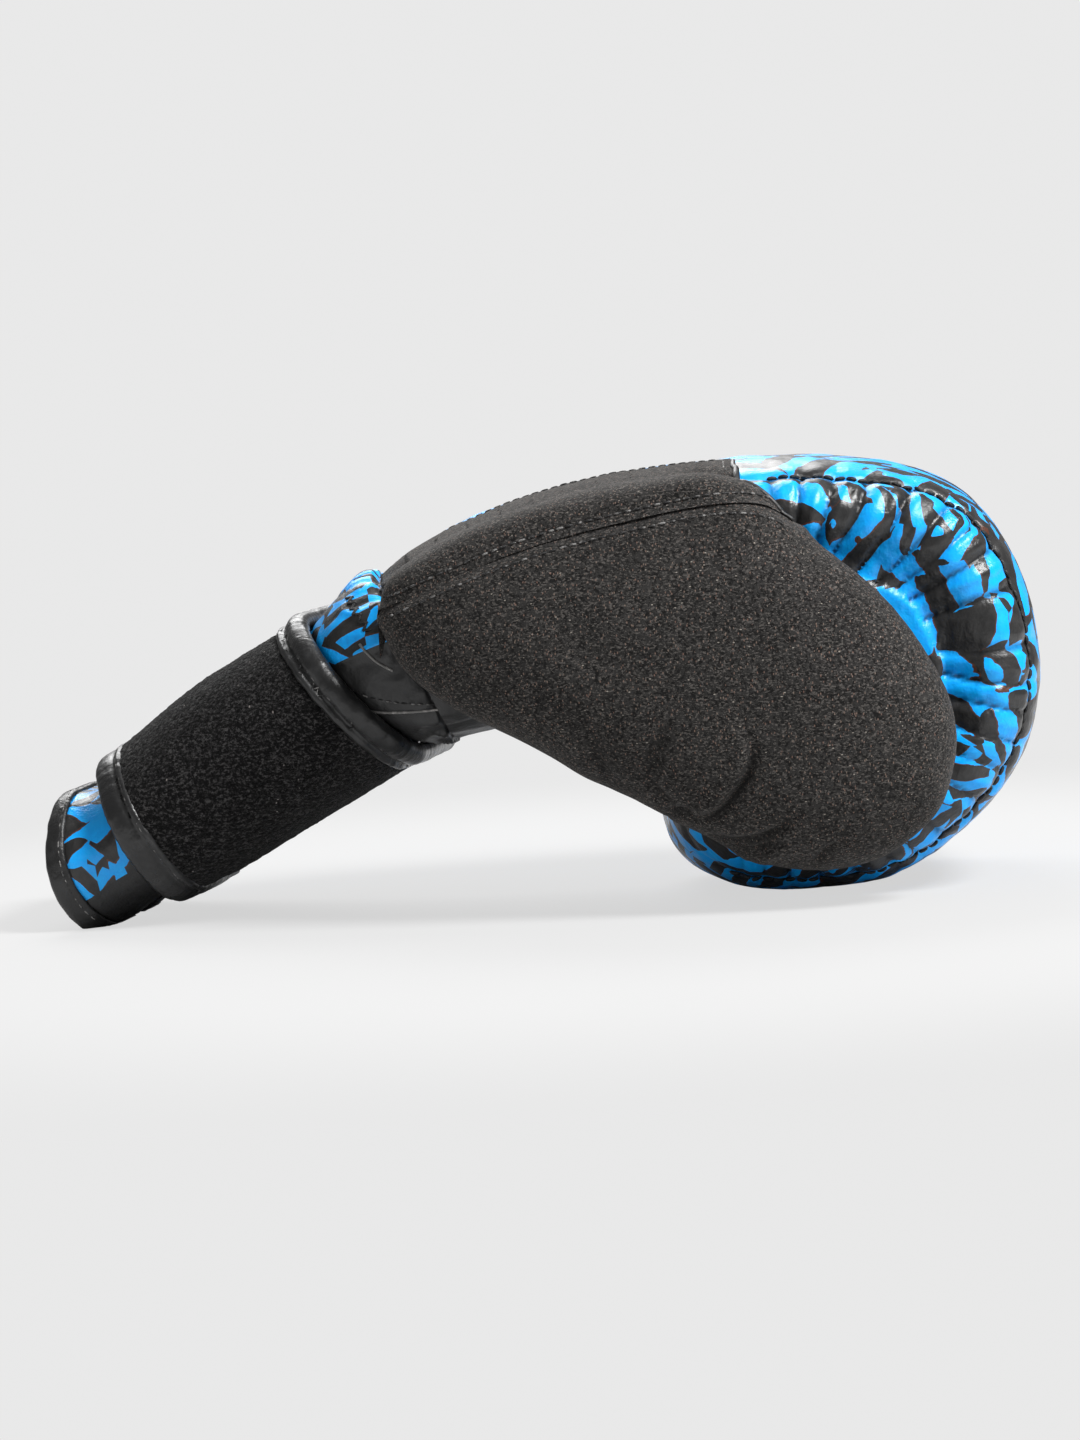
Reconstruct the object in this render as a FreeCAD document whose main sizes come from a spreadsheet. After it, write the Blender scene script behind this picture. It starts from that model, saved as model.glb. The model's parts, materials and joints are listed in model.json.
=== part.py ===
import FreeCAD, Part
import math
import os

import Sketcher
from FreeCAD import Placement, Rotation, Vector

# Left-hand boxing glove with a hook-and-loop strap, modelled piece by piece in millimetres.
# +X runs from the cuff to the knuckles, +Y towards the little finger, +Z towards the back of the hand.
# The glove stands palm down on its fist and on the rim of its cuff; z = 0 is the table.

SIZES = {
    # mitt
    "mitt_length": 196.0,        # wrist seam to the front of the knuckles
    "mitt_height": 130.0,        # underside of the curled fingers to the back of the hand
    "mitt_half_width": 50.0,     # at the middle of the mitt
    "mitt_taper": 0.0012,        # share of the width gained per millimetre towards the knuckles
    "hand_run": 8.0,             # rounding of the hand space's own side edges: across the width
    "hand_drop": 5.0,            # and down its side
    "edge_run": 24.0,            # how far the rounded side edge reaches across the width
    "edge_drop": 14.0,           # how far it falls below the crown
    "rest_sink": 0.4,            # how far the soft rims flatten where they rest on the table
    # layers
    "cover_wall": 1.2,
    "lining_wall": 0.8,
    "layer_gap": 0.25,           # between a skin and the foam below it
    "part_gap": 0.3,             # between two pieces side by side
    "ply_gap": 0.1,              # between two flat layers
    "side_foam": 9.5,            # foam between the hand space and each side cover
    "side_seam": 7.0,            # the side cover's seam, inwards from the side
    "close_angle": 2.0,          # degrees by which the curled fingers can still close
    # thumb
    "thumb_depth": 38.0,         # outwards from the mitt's side
    "thumb_belly": 14.0,         # height over the mitt's side at which the thumb is widest
    "thumb_gap": 0.8,            # between the thumb and the mitt's side
    "thumb_bore": 12.6,          # radius of the thumb's own space
    # cuff
    "cuff_half_width": 43.0,
    "cuff_half_depth": 22.0,
    "cuff_start": 10.0,          # from the wrist centre, along the cuff
    "cuff_length": 108.0,
    "cuff_yaw": 10.0,            # degrees towards the little finger
    "cuff_foam_wall": 4.0,
    "slit_width": 10.0,
    "slit_length": 62.0,
    "gusset_wall": 0.9,
    "gusset_overlap": 5.0,       # how far the gusset reaches past the slit
    "rim_tape": 6.0,             # width of the tape round the cuff's end
    "rim_proud": 0.9,            # how far the tape stands off the cover
    # strap
    "web_wall": 1.6,
    "pile_wall": 1.6,
    "edge_tape": 7.0,            # width of the tape along the strap's edges
    "tape_proud": 0.6,
    "hook_wall": 0.7,
    "loop_wall": 0.9,
    "loop_margin": 4.0,          # how far the loop panel stays inside the strap's edges
    "strap_front_back": 29.0,    # strap's front edge on the back of the wrist, from the wrist centre
    "strap_front_palm": 10.5,    # and on the palm side
    "strap_rear_back": 93.0,
    "strap_rear_palm": 99.0,
    "strap_root": 20.0,          # where the strap is sewn down, towards the little finger
    "strap_tip": 19.0,           # free end on the back of the wrist
    "hook_length": 26.0,
    # grip bar
    "grip_radius": 4.6,
    "grip_round": 2.0,
}

os.makedirs("parts", exist_ok=True)
doc = FreeCAD.newDocument("boxing_glove")
sheet = doc.addObject("Spreadsheet::Sheet", "sizes")
for row, (name, value) in enumerate(SIZES.items(), start=1):
    sheet.set(f"A{row}", name)
    sheet.set(f"B{row}", str(value))
    sheet.setAlias(f"B{row}", name)
doc.recompute()


def size(name):
    """A driving dimension, read from the sheet."""
    return float(sheet.get(name))


LENGTH, HEIGHT = size("mitt_length"), size("mitt_height")
HALF, TAPER = size("mitt_half_width"), size("mitt_taper")
COVER, LINING = size("cover_wall"), size("lining_wall")
LAYER_GAP, PART_GAP, PLY_GAP = size("layer_gap"), size("part_gap"), size("ply_gap")
WRIST_X = -42.0                       # top end of the wrist seam
FAR = 400.0                           # reach of the blocks used as half spaces
TAPER_FROM = WRIST_X + 0.52 * LENGTH  # where mitt_half_width holds exactly
subparts = []


# ---------------------------------------------------------------- side view of the glove
def spot(along, up, y=0.0):
    """A place in the side view, given as shares of the mitt's length and height."""
    return Vector(WRIST_X + along * LENGTH, y, up * HEIGHT)


def samples(points, closed, count):
    """Evenly spaced places with their inward normals, along a smooth clockwise curve."""
    curve = Part.BSplineCurve()
    curve.interpolate(Points=[spot(*p) for p in points], PeriodicFlag=closed)
    total = curve.length()
    steps = count if closed else count - 1
    found = []
    for i in range(count):
        distance = min(total * i / steps, total * 0.99999)
        parameter = curve.parameterAtDistance(distance, curve.FirstParameter)
        way = curve.tangent(parameter)[0]
        found.append((curve.value(parameter), Vector(way.z, 0, -way.x)))
    return found


def section(places, inset, spread, closed=False, shrink=1.0, centre=Vector()):
    """One cross-section: the side view moved in by inset, then shrunk, on the slanted plane at spread."""
    spots = []
    for place, inward in places:
        flat = centre + (place + inward * inset - centre) * shrink
        spots.append(Vector(flat.x, spread * (1 + TAPER * (flat.x - TAPER_FROM)), flat.z))
    knots = [float(i) for i in range(len(spots) + (1 if closed else 0))]
    curve = Part.BSplineCurve()
    curve.interpolate(Points=spots, PeriodicFlag=closed, Parameters=knots)
    edges = [curve.toShape()]
    if not closed:
        edges.append(Part.makeLine(spots[-1], spots[0]))
    return Part.Wire(edges)


def pillow(places, half, run, drop, wall=0.0):
    """A body with this side view and rounded side edges; wall is taken off all over."""
    quarter = [math.radians(a) for a in (90, 66, 44, 22, 0)]
    wires = []
    for side, turns in ((-1, quarter), (1, quarter[::-1])):
        for turn in turns:
            inset = drop - (drop - wall) * math.cos(turn)
            spread = half - run + (run - wall) * math.sin(turn)
            wires.append(section(places, inset, side * spread))
    return Part.makeLoft(wires, True, False)


# The whole mitt: over the back, the knuckles and the curled fingers, then back along fold and palm.
MITT = samples([
    (-0.16, 0.640), (-0.06, 0.735), (0.0, 0.778), (0.09, 0.846), (0.2, 0.908), (0.345, 0.958),
    (0.485, 0.989), (0.62, 1.003), (0.75, 0.985), (0.845, 0.935), (0.92, 0.85), (0.972, 0.715),
    (0.998, 0.56), (0.998, 0.42), (0.975, 0.29), (0.92, 0.165), (0.835, 0.07), (0.73, 0.015),
    (0.63, -0.003), (0.53, 0.008), (0.455, 0.06), (0.413, 0.15), (0.418, 0.265), (0.47, 0.355),
    (0.55, 0.392), (0.62, 0.4), (0.668, 0.418), (0.686, 0.448), (0.664, 0.476), (0.6, 0.484),
    (0.48, 0.475), (0.34, 0.452), (0.2, 0.418), (0.108, 0.385), (0.02, 0.345), (-0.08, 0.295),
], False, 60)

# The hand's own space: from the wrist along the back of the fingers to their tips, and back.
HAND = samples([
    (-0.2, 0.59), (-0.08, 0.642), (0.04, 0.680), (0.18, 0.702), (0.34, 0.718), (0.5, 0.724),
    (0.64, 0.712), (0.755, 0.656), (0.822, 0.56), (0.838, 0.44), (0.81, 0.318), (0.745, 0.222),
    (0.655, 0.176), (0.575, 0.17), (0.515, 0.2), (0.503, 0.26), (0.53, 0.318), (0.6, 0.342),
    (0.68, 0.352), (0.73, 0.392), (0.748, 0.452), (0.722, 0.505), (0.65, 0.526), (0.5, 0.522),
    (0.34, 0.498), (0.2, 0.464), (0.108, 0.431), (0.0, 0.385), (-0.16, 0.315),
], False, 52)

# The thumb with its saddle, a closed leaf.
LEAF = samples([
    (0.004, 0.74), (0.03, 0.795), (0.09, 0.842), (0.2, 0.902), (0.345, 0.952), (0.485, 0.985),
    (0.552, 0.99), (0.603, 0.95), (0.64, 0.88), (0.69, 0.79), (0.765, 0.68), (0.83, 0.545),
    (0.862, 0.42), (0.866, 0.3), (0.845, 0.185), (0.79, 0.095), (0.71, 0.05), (0.62, 0.047),
    (0.545, 0.083), (0.46, 0.162), (0.36, 0.258), (0.24, 0.365), (0.13, 0.46), (0.05, 0.55),
    (0.012, 0.65),
], True, 48)
LEAF_CENTRE = spot(0.47, 0.56)

WRIST_TOP, WRIST_PALM = spot(0.0, 0.775), spot(0.108, 0.385)
WRIST = (WRIST_TOP + WRIST_PALM) * 0.5
KNUCKLE = spot(0.845, 0.935)         # hinge line of the curled fingers, on the skin
FOLD_END = spot(0.686, 0.448)        # innermost line of the palm fold
FOLD_MOUTH = spot(0.47, 0.41)        # between palm and fingertips
GRIP = spot(0.718, 0.448)            # middle of the grip bar
TIPS = spot(0.418, 0.265)            # seam at the fingertips
SEAM_ROOT, SEAM_TIP = spot(0.0, 0.722), spot(0.63, 0.868)    # the thumb's seam
THUMB_MOUTH, THUMB_END = spot(0.235, 0.59), spot(0.66, 0.40)


# ---------------------------------------------------------------- half spaces and cuts
def half_space(point, normal, shift=0.0):
    """A block that fills the side of a plane that normal points to, starting shift further on."""
    block = Part.makeBox(2 * FAR, 2 * FAR, FAR, Vector(-FAR, -FAR, shift))
    block.Placement = Placement(point, Rotation(Vector(0, 0, 1), normal))
    return block


def upright(start, end, towards):
    """The side-view normal of the line from start to end, on the side that towards points to."""
    way = end - start
    normal = Vector(-way.z, 0, way.x).normalize()
    return normal if normal.dot(towards) > 0 else normal.negative()


def beside(spread, side):
    """Everything beyond a slanted side plane: side -1 is the thumb's, 1 the little finger's."""
    near, far = TAPER_FROM - FAR, TAPER_FROM + FAR
    corners = [
        Vector(near, side * spread * (1 - TAPER * FAR), -FAR),
        Vector(far, side * spread * (1 + TAPER * FAR), -FAR),
        Vector(far, side * FAR, -FAR),
        Vector(near, side * FAR, -FAR),
    ]
    return Part.Face(Part.makePolygon(corners + corners[:1])).extrude(Vector(0, 0, 2 * FAR))


TO_CUFF = upright(WRIST_TOP, WRIST_PALM, Vector(-1, 0, 0))
TO_FINGERS = upright(KNUCKLE, FOLD_END, Vector(1, 0, 0))
TO_PALM = upright(FOLD_END, FOLD_MOUTH, Vector(0, 0, 1))
TO_SADDLE = upright(SEAM_ROOT, SEAM_TIP, Vector(0, 0, 1))
WEDGE = Rotation(Vector(0, 1, 0), size("close_angle")).multVec(TO_FINGERS)
past_wrist = half_space(WRIST, TO_CUFF)
hand_block = half_space(KNUCKLE, TO_FINGERS.negative()).common(half_space(FOLD_END, TO_PALM))
hand_block_less_wedge = hand_block.common(half_space(KNUCKLE, WEDGE.negative(), PART_GAP))


def hand_part(shape):
    """What belongs to the hand: behind the knuckle hinge, with a wedge that lets the fingers close."""
    return kept(shape.common(hand_block_less_wedge))


def finger_part(shape):
    """What belongs to the curled fingers."""
    return kept(shape.cut(hand_block))


def kept(shape, share=0.02):
    """The shape's largest solid, and any other that isn't a sliver."""
    solids = [s for s in shape.Solids if s.Volume > share * shape.Volume]
    return solids[0] if len(solids) == 1 else Part.makeCompound(solids)


def rod(start, end, radius):
    """A round bar with ball ends."""
    way = end - start
    balls = [Part.makeSphere(radius, start), Part.makeSphere(radius, end)]
    return Part.makeCylinder(radius, way.Length, start, way).fuse(balls)


def side_y(x, out=0.0):
    """Y of the mitt's thumb side at x, or of a plane that far outside it."""
    return -(HALF + out) * (1 + TAPER * (x - TAPER_FROM))


def feature(label, shape):
    """A finished sub-part whose shape comes from surfaces."""
    item = doc.addObject("Part::Feature", label)
    item.Label = label
    item.Shape = shape
    subparts.append((item, Placement()))
    return item


# ---------------------------------------------------------------- mitt: skins, foams and lining
RUN, DROP = size("edge_run"), size("edge_drop")
HAND_HALF = HALF - COVER - size("side_foam")
HAND_RUN, HAND_DROP = size("hand_run"), size("hand_drop")
outside = pillow(MITT, HALF, RUN, DROP).cut(past_wrist)
TABLE = min(place.z for place, inward in MITT) + size("rest_sink")
outside = outside.cut(half_space(Vector(0, 0, TABLE), Vector(0, 0, -1)))
skin = outside.cut(pillow(MITT, HALF, RUN, DROP, COVER))
foam = pillow(MITT, HALF, RUN, DROP, COVER + LAYER_GAP)
foam = foam.cut(pillow(HAND, HAND_HALF, HAND_RUN, HAND_DROP, -LAYER_GAP)).cut(past_wrist)
lining_block = pillow(HAND, HAND_HALF, HAND_RUN, HAND_DROP).cut(past_wrist)
hand_space = pillow(HAND, HAND_HALF, HAND_RUN, HAND_DROP, LINING)

BORE = size("thumb_bore")
HOLE_OUT = 20.0                       # the cutter for the thumb's hole starts this far outside the mitt
MOUTH_AXIS = (THUMB_MOUTH + Vector(0, -HALF - HOLE_OUT, 0), Vector(0, 1, 0))
thumb_hole = Part.makeCylinder(BORE, HALF, *MOUTH_AXIS)
thumb_hole_in_wall = Part.makeCylinder(BORE + LINING + LAYER_GAP, HALF, *MOUTH_AXIS)

# The seam at the fingertips parts the outer strip and foam from the inner ones.
TIP_OUT, TIP_IN = 8.0, 26.0           # reach of that gap outside and inside the seam
tip_gap = Part.makeBox(TIP_OUT + TIP_IN, 2 * FAR, PART_GAP, Vector(TIPS.x - TIP_OUT, -FAR, TIPS.z))

# The skin: a strip over back, knuckles, fingertips and palm, and a panel on each side.
SEAM_AT = HALF - size("side_seam")
strip = skin.cut(beside(SEAM_AT - PART_GAP, -1)).cut(beside(SEAM_AT - PART_GAP, 1)).cut(tip_gap)
outer_strip, inner_strip = sorted(strip.Solids, key=lambda s: -s.Volume)[:2]
feature("back_cover", hand_part(outer_strip))
feature("fist_cover", finger_part(outer_strip))
feature("palm_cover", hand_part(inner_strip))
feature("finger_grip_cover", finger_part(inner_strip))
thumb_panel = skin.common(beside(SEAM_AT, -1)).cut(thumb_hole_in_wall)
little_panel = skin.common(beside(SEAM_AT, 1))
feature("thumb_side_hand_cover", hand_part(thumb_panel))
feature("thumb_side_fist_cover", finger_part(thumb_panel))
feature("little_side_hand_cover", hand_part(little_panel))
feature("little_side_fist_cover", finger_part(little_panel))

# The foams: a wall on each side, and the thick block between them.
WALL_AT = HAND_HALF + LAYER_GAP
thumb_wall = foam.common(beside(WALL_AT, -1)).cut(thumb_hole_in_wall)
little_wall = foam.common(beside(WALL_AT, 1))
feature("thumb_side_hand_foam", hand_part(thumb_wall))
feature("thumb_side_fist_foam", finger_part(thumb_wall))
feature("little_side_hand_foam", hand_part(little_wall))
feature("little_side_fist_foam", finger_part(little_wall))
core = foam.cut(beside(WALL_AT - PART_GAP, -1)).cut(beside(WALL_AT - PART_GAP, 1))
core = core.cut(tip_gap)
BED = size("grip_radius") + LAYER_GAP
grip_bed = Part.makeCylinder(BED, 2 * FAR, GRIP - Vector(0, FAR, 0), Vector(0, 1, 0))
outer_core, inner_core = sorted(core.Solids, key=lambda s: -s.Volume)[:2]
feature("back_foam", hand_part(outer_core))
feature("fist_foam", finger_part(outer_core))
feature("palm_foam", hand_part(inner_core))
feature("finger_grip_foam", finger_part(inner_core).cut(grip_bed))
feature("hand_lining", kept(hand_part(lining_block).cut(hand_space).cut(thumb_hole)))
feature("finger_lining", kept(finger_part(lining_block).cut(hand_space)))


# ---------------------------------------------------------------- thumb and saddle
DEPTH, THUMB_GAP, BELLY = size("thumb_depth"), size("thumb_gap"), size("thumb_belly")
FOOT_IN, FOOT_MID, FOOT_RISE = 9.0, 3.5, 2.5      # the underside's rounding: insets, and the height between
FULL_IN, FULL_BELOW = 0.3, 5.0                    # almost full width, this far below the belly


def leaf(wall=0.0):
    """Thumb and saddle in one: a rounded underside on the mitt, then a full dome."""
    foot = THUMB_GAP + wall
    under = ((foot, FOOT_IN), (foot + FOOT_RISE, FOOT_MID), (BELLY - FULL_BELOW, FULL_IN))
    wires = [section(LEAF, inset + wall, -HALF - out, True) for out, inset in under]
    for turn in (0, 25, 45, 62, 76, 86):
        angle = math.radians(turn)
        out = BELLY + (DEPTH - wall - BELLY) * math.sin(angle)
        wires.append(section(LEAF, wall, -HALF - out, True, math.cos(angle) ** 0.6, LEAF_CENTRE))
    return Part.makeLoft(wires, True, False)


THUMB_MID = 0.5 * (THUMB_GAP + DEPTH)
MOUTH_OUT = 2.0                       # the thumb's space starts this far outside the mitt's side
thumb_start = THUMB_MOUTH + Vector(0, side_y(THUMB_MOUTH.x, MOUTH_OUT), 0)
thumb_bend = spot(0.36, 0.55)
thumb_bend.y = side_y(thumb_bend.x, THUMB_MID)
thumb_tip = THUMB_END + Vector(0, side_y(THUMB_END.x, THUMB_MID), 0)


def thumb_space(radius):
    """The thumb's own space: out of the mitt's side, then forwards to the tip."""
    return rod(thumb_start, thumb_bend, radius).fuse(rod(thumb_bend, thumb_tip, radius))


beyond_side = beside(HALF + THUMB_GAP, -1)
saddle_side = half_space(SEAM_ROOT, TO_SADDLE, 0.5 * PART_GAP)
thumb_side = half_space(SEAM_ROOT, TO_SADDLE.negative(), 0.5 * PART_GAP)
leaf_skin = leaf().cut(leaf(COVER))
leaf_foam = leaf(COVER + LAYER_GAP)
thumb_lining = thumb_space(BORE).cut(thumb_space(BORE - LINING))
thumb_skin = leaf_skin.common(thumb_side)
thumb_foam = leaf_foam.common(thumb_side).cut(thumb_space(BORE + LAYER_GAP))
feature("saddle_cover", kept(leaf_skin.common(saddle_side)))
feature("saddle_foam", kept(leaf_foam.common(saddle_side)))
feature("thumb_cover", kept(thumb_skin.common(beside(HALF + BELLY, -1))))
inner_thumb = thumb_skin.cut(beside(HALF + BELLY - PART_GAP, -1))
feature("thumb_inner_cover", kept(inner_thumb.cut(thumb_space(BORE + LAYER_GAP))))
feature("thumb_outer_foam", kept(thumb_foam.common(beside(HALF + THUMB_MID, -1))))
feature("thumb_inner_foam", kept(thumb_foam.cut(beside(HALF + THUMB_MID - PART_GAP, -1))))
feature("thumb_lining", kept(thumb_lining.common(beyond_side)))

# ---------------------------------------------------------------- cuff frame
# In the cuff's own frame +X points back along the cuff to the hand, and the wrist centre is the origin.
CUFF_A, CUFF_B = size("cuff_half_width"), size("cuff_half_depth")
CUFF_FROM = size("cuff_start")
CUFF_END = CUFF_FROM + size("cuff_length")
RIM_B = CUFF_B + size("rim_proud")
drop_needed = WRIST.z - TABLE + size("rest_sink")
pitch = math.asin(drop_needed / math.hypot(CUFF_END, RIM_B)) - math.atan2(RIM_B, CUFF_END)
turn_down = Rotation(Vector(0, 1, 0), -math.degrees(pitch))
turn_aside = Rotation(Vector(0, 0, 1), -size("cuff_yaw"))
CUFF_PLACE = Placement(WRIST, turn_aside * turn_down)


def body(label, place=CUFF_PLACE):
    """An empty sub-part that is made of sketches and features."""
    item = doc.addObject("PartDesign::Body", label)
    item.Label = label
    subparts.append((item, place))
    return item


def sketch_on(item, plane, name):
    """A sketch on one of a body's own origin planes."""
    sketch = item.newObject("Sketcher::SketchObject", name)
    role = [f for f in item.Origin.OriginFeatures if f.Role == plane][0]
    sketch.AttachmentSupport = (role, [""])
    sketch.MapMode = "FlatFace"
    return sketch


def draw_oval(sketch, radius, rule):
    """A slot-shaped oval about the origin; rule is the radius as an expression."""
    reach = CUFF_A - CUFF_B
    first = sketch.GeometryCount
    right, left, top, low = first, first + 1, first + 2, first + 3
    sketch.addGeometry(Part.ArcOfCircle(Part.Circle(Vector(reach, 0, 0), Vector(0, 0, 1), radius),
                                        -0.5 * math.pi, 0.5 * math.pi), False)
    sketch.addGeometry(Part.ArcOfCircle(Part.Circle(Vector(-reach, 0, 0), Vector(0, 0, 1), radius),
                                        0.5 * math.pi, 1.5 * math.pi), False)
    sketch.addGeometry(Part.LineSegment(Vector(reach, radius, 0), Vector(-reach, radius, 0)), False)
    sketch.addGeometry(Part.LineSegment(Vector(-reach, -radius, 0), Vector(reach, -radius, 0)), False)
    meetings = ((top, 1, right, 2), (top, 2, left, 1), (low, 1, left, 2), (low, 2, right, 1))
    for line, line_end, arc, arc_end in meetings:
        sketch.addConstraint(Sketcher.Constraint("Tangent", line, line_end, arc, arc_end))
    sketch.addConstraint(Sketcher.Constraint("Equal", right, left))
    sketch.addConstraint(Sketcher.Constraint("Symmetric", right, 3, left, 3, -1, 1))
    sketch.addConstraint(Sketcher.Constraint("PointOnObject", right, 3, -1))
    centre = sketch.addConstraint(Sketcher.Constraint("DistanceX", left, 3, right, 3, 2 * reach))
    sketch.setExpression(f"Constraints[{centre}]", "2 * (sizes.cuff_half_width - sizes.cuff_half_depth)")
    bend = sketch.addConstraint(Sketcher.Constraint("Radius", right, radius))
    sketch.setExpression(f"Constraints[{bend}]", rule)


def draw_outline(sketch, corners):
    """A closed outline of straight edges."""
    points = [Vector(a, b, 0) for a, b in corners]
    first = sketch.GeometryCount
    for start, end in zip(points, points[1:] + points[:1]):
        sketch.addGeometry(Part.LineSegment(start, end), False)
    for i in range(len(points)):
        after = first + (i + 1) % len(points)
        sketch.addConstraint(Sketcher.Constraint("Coincident", first + i, 2, after, 1))
        sketch.addConstraint(Sketcher.Constraint("Block", first + i))


def pocket(item, plane, name, *outlines):
    """Cuts straight through a body, both ways from the plane, inside each outline."""
    sketch = sketch_on(item, plane, name + "_outline")
    for corners in outlines:
        draw_outline(sketch, corners)
    cut = item.newObject("PartDesign::Pocket", name)
    cut.Profile = sketch
    cut.Type = "ThroughAll"
    cut.Midplane = True
    doc.recompute()
    return cut


SLIT_HALF = 0.5 * size("slit_width")
SLIT_FROM = CUFF_END - size("slit_length")


def cuff_layer(label, depth, wall, start, end):
    """An oval tube about the cuff's axis, with the palm slit; depth and wall are expressions."""
    item = body(label)
    rings = sketch_on(item, "YZ_Plane", label + "_rings")
    outer = float(sheet.evalExpression(depth))
    draw_oval(rings, outer, depth)
    draw_oval(rings, outer - float(sheet.evalExpression(wall)), f"({depth}) - ({wall})")
    pad = item.newObject("PartDesign::Pad", label + "_tube")
    pad.Profile = rings
    pad.Reversed = True
    pad.Length = 10.0
    pad.setExpression("Length", end)
    doc.recompute()
    pocket(item, "XZ_Plane", label + "_front", [(-start, -FAR), (FAR, -FAR), (FAR, FAR), (-start, FAR)])
    slit = sketch_on(item, "XY_Plane", label + "_slit_outline")
    draw_outline(slit, [(-SLIT_FROM, -SLIT_HALF), (-SLIT_FROM, SLIT_HALF),
                        (-FAR, SLIT_HALF), (-FAR, -SLIT_HALF)])
    cut = item.newObject("PartDesign::Pocket", label + "_slit")
    cut.Profile = slit
    cut.Length = FAR
    doc.recompute()
    return item


END_RULE = "sizes.cuff_start + sizes.cuff_length"
LAYER_END = f"{END_RULE} - sizes.rim_tape - sizes.part_gap"
COVER_RULE = "sizes.cuff_half_depth"
FOAM_RULE = f"{COVER_RULE} - sizes.cover_wall - sizes.layer_gap"
LINING_RULE = f"{FOAM_RULE} - sizes.cuff_foam_wall - sizes.layer_gap"
STACK_RULE = "sizes.cover_wall + sizes.cuff_foam_wall + sizes.lining_wall + 2 * sizes.layer_gap"
cover_back = cuff_layer("cuff_back_cover", COVER_RULE, "sizes.cover_wall", CUFF_FROM, LAYER_END)
cover_palm = cuff_layer("cuff_palm_cover", COVER_RULE, "sizes.cover_wall", CUFF_FROM, LAYER_END)
pocket(cover_back, "XZ_Plane", "cuff_back_only",
       [(-FAR, -FAR), (FAR, -FAR), (FAR, -0.5 * CUFF_B), (-FAR, -0.5 * CUFF_B)])
PANEL_EDGE = -0.5 * CUFF_B - PART_GAP
pocket(cover_palm, "XZ_Plane", "cuff_palm_only",
       [(-FAR, PANEL_EDGE), (FAR, PANEL_EDGE), (FAR, FAR), (-FAR, FAR)])
cuff_layer("cuff_foam", FOAM_RULE, "sizes.cuff_foam_wall", CUFF_FROM, LAYER_END)
cuff_layer("cuff_lining", LINING_RULE, "sizes.lining_wall", CUFF_FROM, LAYER_END)
rim = cuff_layer("cuff_rim_tape", "sizes.cuff_half_depth + sizes.rim_proud",
                 f"{STACK_RULE} + 2 * sizes.rim_proud", CUFF_END - size("rim_tape"), END_RULE)
# The tape flattens where it meets the table.
LEAN = math.tan(pitch)
flat_at = (TABLE - WRIST.z) / math.cos(pitch)
pocket(rim, "XZ_Plane", "cuff_rim_flat",
       [(0, flat_at), (-FAR, flat_at + FAR * LEAN), (-FAR, -FAR), (0, -FAR)])



def plate(label, low, wall, half, start, end):
    """A flat panel along the cuff: low is its underside over the cuff's axis, half its half width."""
    item = body(label)
    outline = sketch_on(item, "XZ_Plane", label + "_outline")
    draw_outline(outline, [(-start, low), (-start, low + wall), (-end, low + wall), (-end, low)])
    pad = item.newObject("PartDesign::Pad", label + "_plate")
    pad.Profile = outline
    pad.Midplane = True
    pad.Length = 2 * half
    doc.recompute()


STACK = float(sheet.evalExpression(STACK_RULE))
OVERLAP, MARGIN = size("gusset_overlap"), size("loop_margin")
plate("cuff_gusset", STACK - CUFF_B + PLY_GAP, size("gusset_wall"), SLIT_HALF + OVERLAP,
      SLIT_FROM - OVERLAP, CUFF_END - size("rim_tape") - 2 * PART_GAP)
plate("loop_panel", CUFF_B + PLY_GAP, size("loop_wall"), CUFF_A - CUFF_B - PLY_GAP,
      size("strap_front_back") + MARGIN, size("strap_rear_back") - MARGIN)

# ---------------------------------------------------------------- strap
# Three lengths, hinged where the strap turns round the thumb side: palm, side and free end.
CORNER = CUFF_A - CUFF_B                           # half length of the cuff's flat top and bottom
UNDER_IN = CUFF_B + PART_GAP                       # strap's inner face under the cuff
TOP_IN = CUFF_B + PLY_GAP + size("loop_wall") + PART_GAP + size("hook_wall") + PART_GAP
STRAP_WALL = size("web_wall") + size("pile_wall") + PLY_GAP
SIDE_RADIUS = 0.5 * (UNDER_IN + TOP_IN)            # inner radius of the turn
SIDE_CENTRE = 0.5 * (TOP_IN - UNDER_IN)            # its height over the cuff's axis
HINGE_OUT = STRAP_WALL + size("tape_proud")        # hinge lines lie on the tapes' outer face


def edge_place(palm, back, height):
    """Distance from the wrist centre of a slanted strap edge at a height over the cuff's axis."""
    share = (height + UNDER_IN) / (UNDER_IN + TOP_IN)
    return palm + (back - palm) * share


def between_edges(item, front, rear):
    """Trims a strap piece at its slanted front and rear edges: each edge is (palm, back) distances."""
    low, high = -2 * CUFF_B, 2 * CUFF_B
    pocket(item, "XZ_Plane", item.Label + "_edges",
           [(-edge_place(*front, low), low), (FAR, low), (FAR, high), (-edge_place(*front, high), high)],
           [(-edge_place(*rear, low), low), (-FAR, low), (-FAR, high), (-edge_place(*rear, high), high)])


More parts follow.
